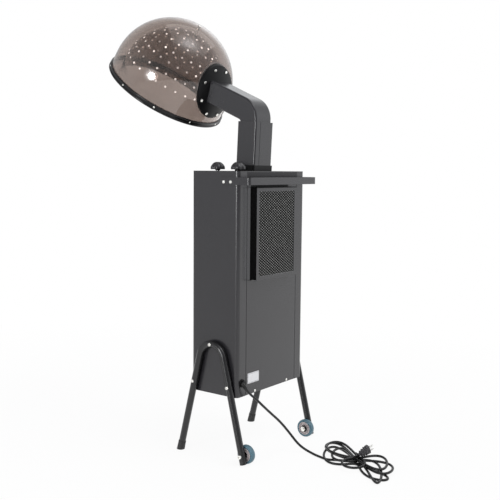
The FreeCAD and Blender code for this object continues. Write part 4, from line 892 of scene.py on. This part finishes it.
class PROCESSOR_OT_finishes(bpy.types.Operator):
    """Build every finish and put it on the CAD pieces that stay"""

    bl_idname = "processor.finishes"
    bl_label = "Finishes"

    def execute(self, context):
        for slot, maker in SLOT_FINISHES.items():
            FINISHES[slot] = maker(scene_colours())
        slots = {part["node"]: part["material_slot"] for part in frame["record"]["subparts"]}
        for node, obj in frame["nodes"].items():
            obj.data.materials.clear()
            own = OWN_FINISHES.get(node)
            obj.data.materials.append(own(scene_colours()) if own else FINISHES[slots[node]])
        return {"FINISHED"}


def lobe(start, end, direction, length, width, skew, heights):
    """One lobe of a figure-eight, as rows of x, y, z in millimetres.

    With t from 0 to 1 the point is the blend of start and end, plus length sin(pi t) along the
    direction and width / 2 sin(2 pi t) + skew sin(pi t) squared across it. Its height follows
    the same sine from the waist's heights to the tip's.
    """
    t = ((np.arange(LOBE_SAMPLES) + 0.5) / LOBE_SAMPLES)[:, None]
    turn = math.radians(direction)
    along = np.array((math.cos(turn), math.sin(turn)))
    across = np.array((-along[1], along[0]))
    reach = np.sin(np.pi * t)
    flat = (np.asarray(start) * (1 - t) + np.asarray(end) * t + length * reach * along
            + (width / 2 * np.sin(2 * np.pi * t) + skew * reach ** 2) * across)
    at_start, at_end, at_tip = heights
    height = (at_start * (1 - t) + at_end * t) * (1 - reach) + at_tip * reach
    return np.column_stack([flat, height])


def waist_place(index):
    """Where the cord passes the waist for the index-th time: three strands side by side a layer."""
    side = (index % 3 - 1) * CORD_STEP
    return np.array(HANK_TIE_MM) + WAIST_ACROSS * side, FLOOR_STRAND + LAYER_STEP * (index // 3)


def hank_points(turns):
    """The lobes of the figure-eight one after another, each lying on the ones before it."""
    points = []
    for k, (direction, length, width, skew) in enumerate(LOBES[:2 * turns]):
        start, low = waist_place(k)
        end, high = waist_place(k + 1)
        tip = FLOOR_STRAND + TIP_STEP * (k // 2)
        points.append(lobe(start, end, direction, length, width, skew, (low, high, tip)))
    return np.concatenate(points)


def turn_to_plug(steps=12):
    """The last turn before the plug, on the near side of the waist.

    Its points are centre + radius (cos a, sin a), with a going clockwise, and the height dips
    halfway.
    """
    share = np.linspace(0, 1, steps)
    angle = np.radians(LAST_TURN_FROM - LAST_TURN_SWEEP * share)
    return np.column_stack([LAST_TURN_MM[0] + LAST_TURN_RADIUS * np.cos(angle),
                            LAST_TURN_MM[1] + LAST_TURN_RADIUS * np.sin(angle),
                            LAST_TURN_HEIGHT - LAST_TURN_DIP * np.sin(np.pi * share)])


def cord_points(turns):
    """The whole cord's control points in metres: route, hank and the short end to the plug."""
    to_plug = [[LEAVE_WAIST_MM], turn_to_plug(), [INTO_PLUG_MM, PLUG_BASE_MM]]
    points = np.concatenate([CORD_ROUTE_MM, INTO_HANK_MM, hank_points(turns), *to_plug])
    return [machine_point(*p) for p in points]


class PROCESSOR_OT_cord(bpy.types.Operator):
    """Mains cord with its hank and plug"""

    bl_idname = "processor.cord"
    bl_label = "Cord"

    def execute(self, context):
        sizes = scene_sizes()
        points = cord_points(sizes.hank_turns)
        curve = bpy.data.curves.new("mains_cord", "CURVE")
        curve.dimensions = "3D"
        curve.bevel_depth = sizes.cord_diameter / 2
        curve.bevel_resolution = 5
        curve.use_fill_caps = True
        curve.resolution_u = 6
        spline = curve.splines.new("NURBS")
        spline.points.add(len(points) - 1)
        for point, place in zip(spline.points, points):
            point.co = (*place, 1.0)
        spline.order_u = 3
        spline.use_endpoint_u = True
        cord = bpy.data.objects.new("mains_cord", curve)
        bpy.context.collection.objects.link(cord)
        curve.materials.append(FINISHES["cord_rubber"])
        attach(cord, "stand")
        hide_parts("power_cord", "cord_hank")
        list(make_plug())
        return {"FINISHED"}


def knob_profile(radius, height):
    """Half section of a mushroom knob: neck, hollow underside, upright brim, low crown."""
    return np.array([
        (0.0, 0.0008), (0.0085, 0.0008), (0.0085, 0.0090), (0.0100, 0.0094),
        (radius * 0.86, 0.0055), (radius * 0.95, 0.0048), (radius, 0.0056),
        (radius, 0.0120), (radius * 0.955, 0.52 * height), (radius * 0.82, 0.70 * height),
        (radius * 0.62, 0.87 * height), (radius * 0.40, 0.97 * height), (radius * 0.2, height),
        (0.0, height)])


def scalloped(turn, profile):
    """Radius factor of a knob: 1 - 0.14 share (0.5 - 0.5 cos(flutes (turn - 42 degrees)))^3.

    The share fades from 1 on the brim to 0 on neck and cap.
    """
    sizes = scene_sizes()
    share = np.clip((profile[:, 0] / sizes.knob_radius - 0.42) / 0.3, 0, 1)
    hollow = (0.5 - 0.5 * np.cos(sizes.knob_flutes * (turn - math.radians(42)))) ** 3
    return 1 - 0.14 * share * hollow


class PROCESSOR_OT_knobs(bpy.types.Operator):
    """Fluted knobs on the lid"""

    bl_idname = "processor.knobs"
    bl_label = "Knobs"

    def execute(self, context):
        sizes = scene_sizes()
        lid = corners("cabinet_wrap")[1][2]
        knob_finish = knob_plastic(scene_colours())
        for node, body in KNOBS.items():
            profile = smooth_profile(knob_profile(sizes.knob_radius, sizes.knob_height), 2)
            points = revolved(profile, KNOB_STEPS, scalloped)
            centre = middle(node)
            place = Matrix.Translation(Vector((centre[0], centre[1], lid)))
            knob = mesh_object("fluted_" + node, placed(points, place),
                               grid_faces(KNOB_STEPS, len(profile), close_rows=True),
                               knob_finish, 50.0)
            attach(knob, body)
            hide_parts(node)
        return {"FINISHED"}


def hole_axes():
    """Outward directions of the air holes in the dome's own frame, ring by ring upwards."""
    axes = []
    for ring, (height, count) in enumerate(HOLE_RINGS):
        turn = np.radians(360 / count * (np.arange(count) + 0.5 * (ring % 2)))
        lift = math.radians(height)
        axes.append(np.column_stack([np.cos(turn) * math.cos(lift), np.sin(turn) * math.cos(lift),
                                     np.full(count, math.sin(lift))]))
    return np.concatenate(axes)


def hole_lips(steps=10):
    """Points of a small collar in every hole: rows are holes, then turns, then the collar's section.

    With the hole's outward direction n and two directions a, b across it, a point is
    centre + n h + (a cos u + b sin u) r for the section's pairs (r, h).
    """
    outward = hole_axes()
    helper = np.where(np.abs(outward[:, 2:]) < 0.9, (0.0, 0.0, 1.0), (1.0, 0.0, 0.0))
    across = np.cross(outward, helper)
    across /= np.linalg.norm(across, axis=1, keepdims=True)
    other = np.cross(outward, across)
    outer, inner, proud = HOLE_RADIUS + 0.0007, HOLE_RADIUS - 0.0009, 0.0003
    section = np.array([(outer, proud), (inner, proud * 0.6), (inner, -SHELL_THICKNESS - proud * 0.6),
                        (outer, -SHELL_THICKNESS - proud)])
    turn = np.linspace(0, 2 * np.pi, steps, endpoint=False)[None, :, None, None]
    n, a, b = (v[:, None, None, :] for v in (outward, across, other))
    radius, height = section[None, None, :, :1], section[None, None, :, 1:]
    points = n * (INNER_RADIUS + height) + (a * np.cos(turn) + b * np.sin(turn)) * radius
    return points + np.array((0, 0, DOME_SKIRT)), len(outward), steps, len(section)


class PROCESSOR_OT_holes(bpy.types.Operator):
    """Cut edges in the air holes of the inner dome"""

    bl_idname = "processor.holes"
    bl_label = "Air holes"

    def execute(self, context):
        points, holes, steps, section = hole_lips()
        place = Matrix.Translation(machine_point(*DOME_RIM_MM)) @ Matrix.Rotation(-DOME_TILT, 4, "X")
        one = np.array(grid_faces(steps, section, close_rows=True, close_columns=True))
        starts = (np.arange(holes) * steps * section)[:, None, None]
        faces = (one[None] + starts).reshape(-1, 4).tolist()
        lips = mesh_object("air_hole_lips", placed(points, place), faces, cut_edge(), 30.0)
        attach(lips, "arm")
        return {"FINISHED"}


def plug_width(s):
    """Half width of the plug along its length s in metres: boot, ribbed grip, broad front."""
    stations = (0.0, 0.0060, 0.0095, 0.0115, 0.0330, 0.0352, 0.0430, 0.0446, 0.0451)
    halves = (0.0046, 0.0050, 0.0060, 0.0088, 0.0132, 0.0142, 0.0146, 0.0140, 0.0128)
    return np.interp(s, stations, halves)


def plug_surface(rows=190, columns=56):
    """Plug body: rounded-rectangle sections along its axis with chevron ribs.

    At length s and turn u the section is a superellipse with half width w(s) across and
    a fixed share of that deep. Ribs follow the saw of s + 0.45 |x|, so they point forward on the
    two broad faces.
    """
    s = np.linspace(0, PLUG_LENGTH, rows)[:, None]
    u = np.linspace(0, 2 * np.pi, columns, endpoint=False)[None, :]
    c, d = np.cos(u), np.sin(u)
    power = np.interp(s, (0.007, 0.016), (1.0, 0.62))
    half = plug_width(s)
    x = half * np.sign(c) * np.abs(c) ** power
    y = half * np.interp(s, (0.007, 0.018), (1.0, PLUG_DEPTH)) * np.sign(d) * np.abs(d) ** power
    phase = ((s + 0.45 * np.abs(x) - 0.012) / RIB_PITCH) % 1.0
    ribbed = np.clip((s - 0.0112) / 0.001, 0, 1) * np.clip((0.0345 - s) / 0.002, 0, 1)
    grow = 1 + 0.28 * ribbed * (np.clip(phase / 0.2, 0, 1) - np.clip((phase - 0.55) / 0.2, 0, 1) - 0.5)
    points = np.stack([x * grow, y * grow, np.broadcast_to(s, x.shape)], -1)
    ends = np.array([(0, 0, 0.0), (0, 0, PLUG_LENGTH)])
    count = rows * columns
    faces = grid_faces(rows, columns, close_columns=True)
    ring = np.arange(columns)
    faces += np.column_stack([ring, np.roll(ring, -1), np.full(columns, count)]).tolist()
    last = ring + count - columns
    faces += np.column_stack([np.roll(last, -1), last, np.full(columns, count + 1)]).tolist()
    return np.concatenate([points.reshape(-1, 3), ends]), faces


def blade(width, thickness, length, columns=16, rows=12):
    """Flat pin: a rounded-rectangle section that narrows to a rounded tip.

    Its half sizes are scaled by sqrt(1 - q^2) where q runs from 0 to 1 over the last fifth.
    """
    s = np.linspace(0, 1, rows)[:, None]
    q = np.clip((s - 0.8) / 0.2, 0, 1) * 0.93
    shrink = np.sqrt(1 - q ** 2)
    u = np.linspace(0, 2 * np.pi, columns, endpoint=False)[None, :]
    x = width / 2 * shrink * np.sign(np.cos(u)) * np.abs(np.cos(u)) ** 0.35
    y = thickness / 2 * np.sqrt(shrink) * np.sign(np.sin(u)) * np.abs(np.sin(u)) ** 0.35
    points = np.stack([x, y, np.broadcast_to(s * length, x.shape)], -1).reshape(-1, 3)
    return points, tube_faces(rows, columns)


def plug_frame():
    """Matrix whose Z runs from the cord to the pins and whose Y lies level."""
    base, tip = machine_point(*PLUG_BASE_MM), machine_point(*PLUG_TIP_MM)
    along = (tip - base).normalized()
    side = along.cross(Vector((0, 0, 1))).normalized()
    return Matrix.Translation(base) @ Matrix((side.cross(along), side, along)).transposed().to_4x4()


def make_plug():
    """Plug body, two flat pins and a round earth pin; returns the pieces."""
    place = plug_frame()
    points, faces = plug_surface()
    body = mesh_object("plug_body", placed(points, place), faces, plug_rubber(), 35.0)
    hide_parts("plug")
    pins = []
    for name, x, y, width, thickness, length in (
            ("plug_pin_live", -0.00635, 0.0027, 0.0064, 0.0016, 0.0175),
            ("plug_pin_neutral", 0.00635, 0.0027, 0.0064, 0.0016, 0.0175),
            ("plug_pin_earth", 0.0, -0.0050, 0.0046, 0.0046, 0.0200)):
        turn = Matrix.Rotation(math.pi / 2, 4, "Z")
        points, faces = blade(width, thickness, length)
        spot = place @ Matrix.Translation((x, y, PLUG_LENGTH - 0.0008)) @ turn
        pins.append(mesh_object(name, placed(points, spot), faces, pin_metal(), 40.0))
    for piece in (body, *pins):
        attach(piece, "stand")
    return [body, *pins]


def tie_surface(columns=64):
    """Band round the waist of the hank: a superellipse swept by a thin rectangle."""
    u = np.linspace(0, 2 * np.pi, columns, endpoint=False)[:, None]
    x = 0.0142 * np.sign(np.cos(u)) * np.abs(np.cos(u)) ** 0.75
    z = 0.0138 * np.sign(np.sin(u)) * np.abs(np.sin(u)) ** 0.75
    grow = np.array((1.0, 1.09, 1.09, 1.0))[None, :]
    y = np.array((-0.003, -0.003, 0.003, 0.003))[None, :]
    points = np.stack([x * grow, np.broadcast_to(y, (columns, 4)), z * grow + 0.0142], -1)
    return points.reshape(-1, 3), grid_faces(columns, 4, close_rows=True, close_columns=True)


def twist_surface(rows=40, columns=12):
    """Twisted end of the tie: an oval section of 2.6 by 1.5 mm turned twice along 16 mm."""
    s = np.linspace(0, 1, rows)[:, None]
    u = np.linspace(0, 2 * np.pi, columns, endpoint=False)[None, :]
    spin = 4 * np.pi * s
    x, y = 0.0026 * np.cos(u), 0.0015 * np.sin(u)
    across = x * np.cos(spin) - y * np.sin(spin)
    deep = x * np.sin(spin) + y * np.cos(spin)
    lean = -0.008 * s ** 2
    points = np.stack([across + lean, deep, np.broadcast_to(0.0265 + 0.012 * s, across.shape)], -1)
    return points.reshape(-1, 3), tube_faces(rows, columns)


class PROCESSOR_OT_tie(bpy.types.Operator):
    """Wire tie that holds the hank together"""

    bl_idname = "processor.tie"
    bl_label = "Cord tie"

    def execute(self, context):
        place = Matrix.Translation(machine_point(*HANK_TIE_MM, 0.0))
        place = place @ Matrix.Rotation(math.atan2(WAIST_ACROSS[1], WAIST_ACROSS[0]), 4, "Z")
        for name, (points, faces) in (("cord_tie_band", tie_surface()),
                                      ("cord_tie_twist", twist_surface())):
            piece = mesh_object(name, placed(points, place), faces, FINISHES["black_plastic"], 40.0)
            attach(piece, "stand")
        return {"FINISHED"}


def tyre_profile(outer, inner, half_width, crown):
    """Closed half section of a tyre: rounded shoulders and a bulging tread between two side walls."""
    shoulder = 0.0042
    turn = np.linspace(0, np.pi / 2, 7)
    left = np.column_stack([outer - crown - shoulder + shoulder * np.sin(turn),
                            -half_width + shoulder - shoulder * np.cos(turn)])
    across = np.linspace(-half_width * 0.5, half_width * 0.5, 7)
    tread = np.column_stack([outer - crown * (across / half_width) ** 2, across])
    wall = np.array([(inner, -half_width * 0.86), (inner + 0.0012, -half_width)])
    mirror = np.array((1, -1))
    return np.concatenate([wall, left, tread, left[::-1] * mirror, wall[::-1] * mirror])


class PROCESSOR_OT_tyres(bpy.types.Operator):
    """Soft tyres with rounded shoulders"""

    bl_idname = "processor.tyres"
    bl_label = "Tyres"

    def execute(self, context):
        sizes = scene_sizes()
        for side in WHEELS:
            low, high = corners("tyre_" + side)
            centre = (low + high) / 2
            outer, half_width = (high[2] - low[2]) / 2, (high[0] - low[0]) / 2
            hub_low, hub_high = corners("wheel_hub_" + side)
            inner = (hub_high[2] - hub_low[2]) / 2
            place = axis_frame(centre, (1, 0, 0))
            profile = tyre_profile(outer, inner, half_width, sizes.tyre_crown)
            tyre = mesh_object("tread_" + side, placed(revolved(profile, 160), place),
                               grid_faces(160, len(profile), close_rows=True, close_columns=True),
                               FINISHES["wheel_tyre"])
            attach(tyre, "wheel_" + side)
            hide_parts("tyre_" + side)
        return {"FINISHED"}


OPERATORS = (PROCESSOR_OT_stage, PROCESSOR_OT_finishes, PROCESSOR_OT_cord, PROCESSOR_OT_tie,
             PROCESSOR_OT_knobs, PROCESSOR_OT_holes, PROCESSOR_OT_tyres)


class PROCESSOR_PT_sidebar(bpy.types.Panel):
    """Sizes, colours and one button for each group of pieces"""

    bl_idname = "PROCESSOR_PT_sidebar"
    bl_label = "Hair Processor"
    bl_space_type = "VIEW_3D"
    bl_region_type = "UI"
    bl_category = "Hair Processor"

    def draw(self, context):
        layout = self.layout
        for settings in (context.scene.processor_sizes, context.scene.processor_colours):
            for name in settings.__annotations__:
                layout.prop(settings, name)
        for operator in OPERATORS:
            layout.operator(operator.bl_idname)


CLASSES = (ProcessorColours, ProcessorSizes, *OPERATORS, PROCESSOR_PT_sidebar)


def register():
    """Registers the classes and hangs the settings on the scene."""
    for cls in CLASSES:
        bpy.utils.register_class(cls)
    bpy.types.Scene.processor_colours = bpy.props.PointerProperty(type=ProcessorColours)
    bpy.types.Scene.processor_sizes = bpy.props.PointerProperty(type=ProcessorSizes)


def unregister():
    """Takes the settings and the classes away again."""
    del bpy.types.Scene.processor_sizes
    del bpy.types.Scene.processor_colours
    for cls in reversed(CLASSES):
        bpy.utils.unregister_class(cls)


def main():
    register()
    for operator in OPERATORS:
        group, name = operator.bl_idname.split(".")
        getattr(getattr(bpy.ops, group), name)()


if __name__ == "__main__":
    main()
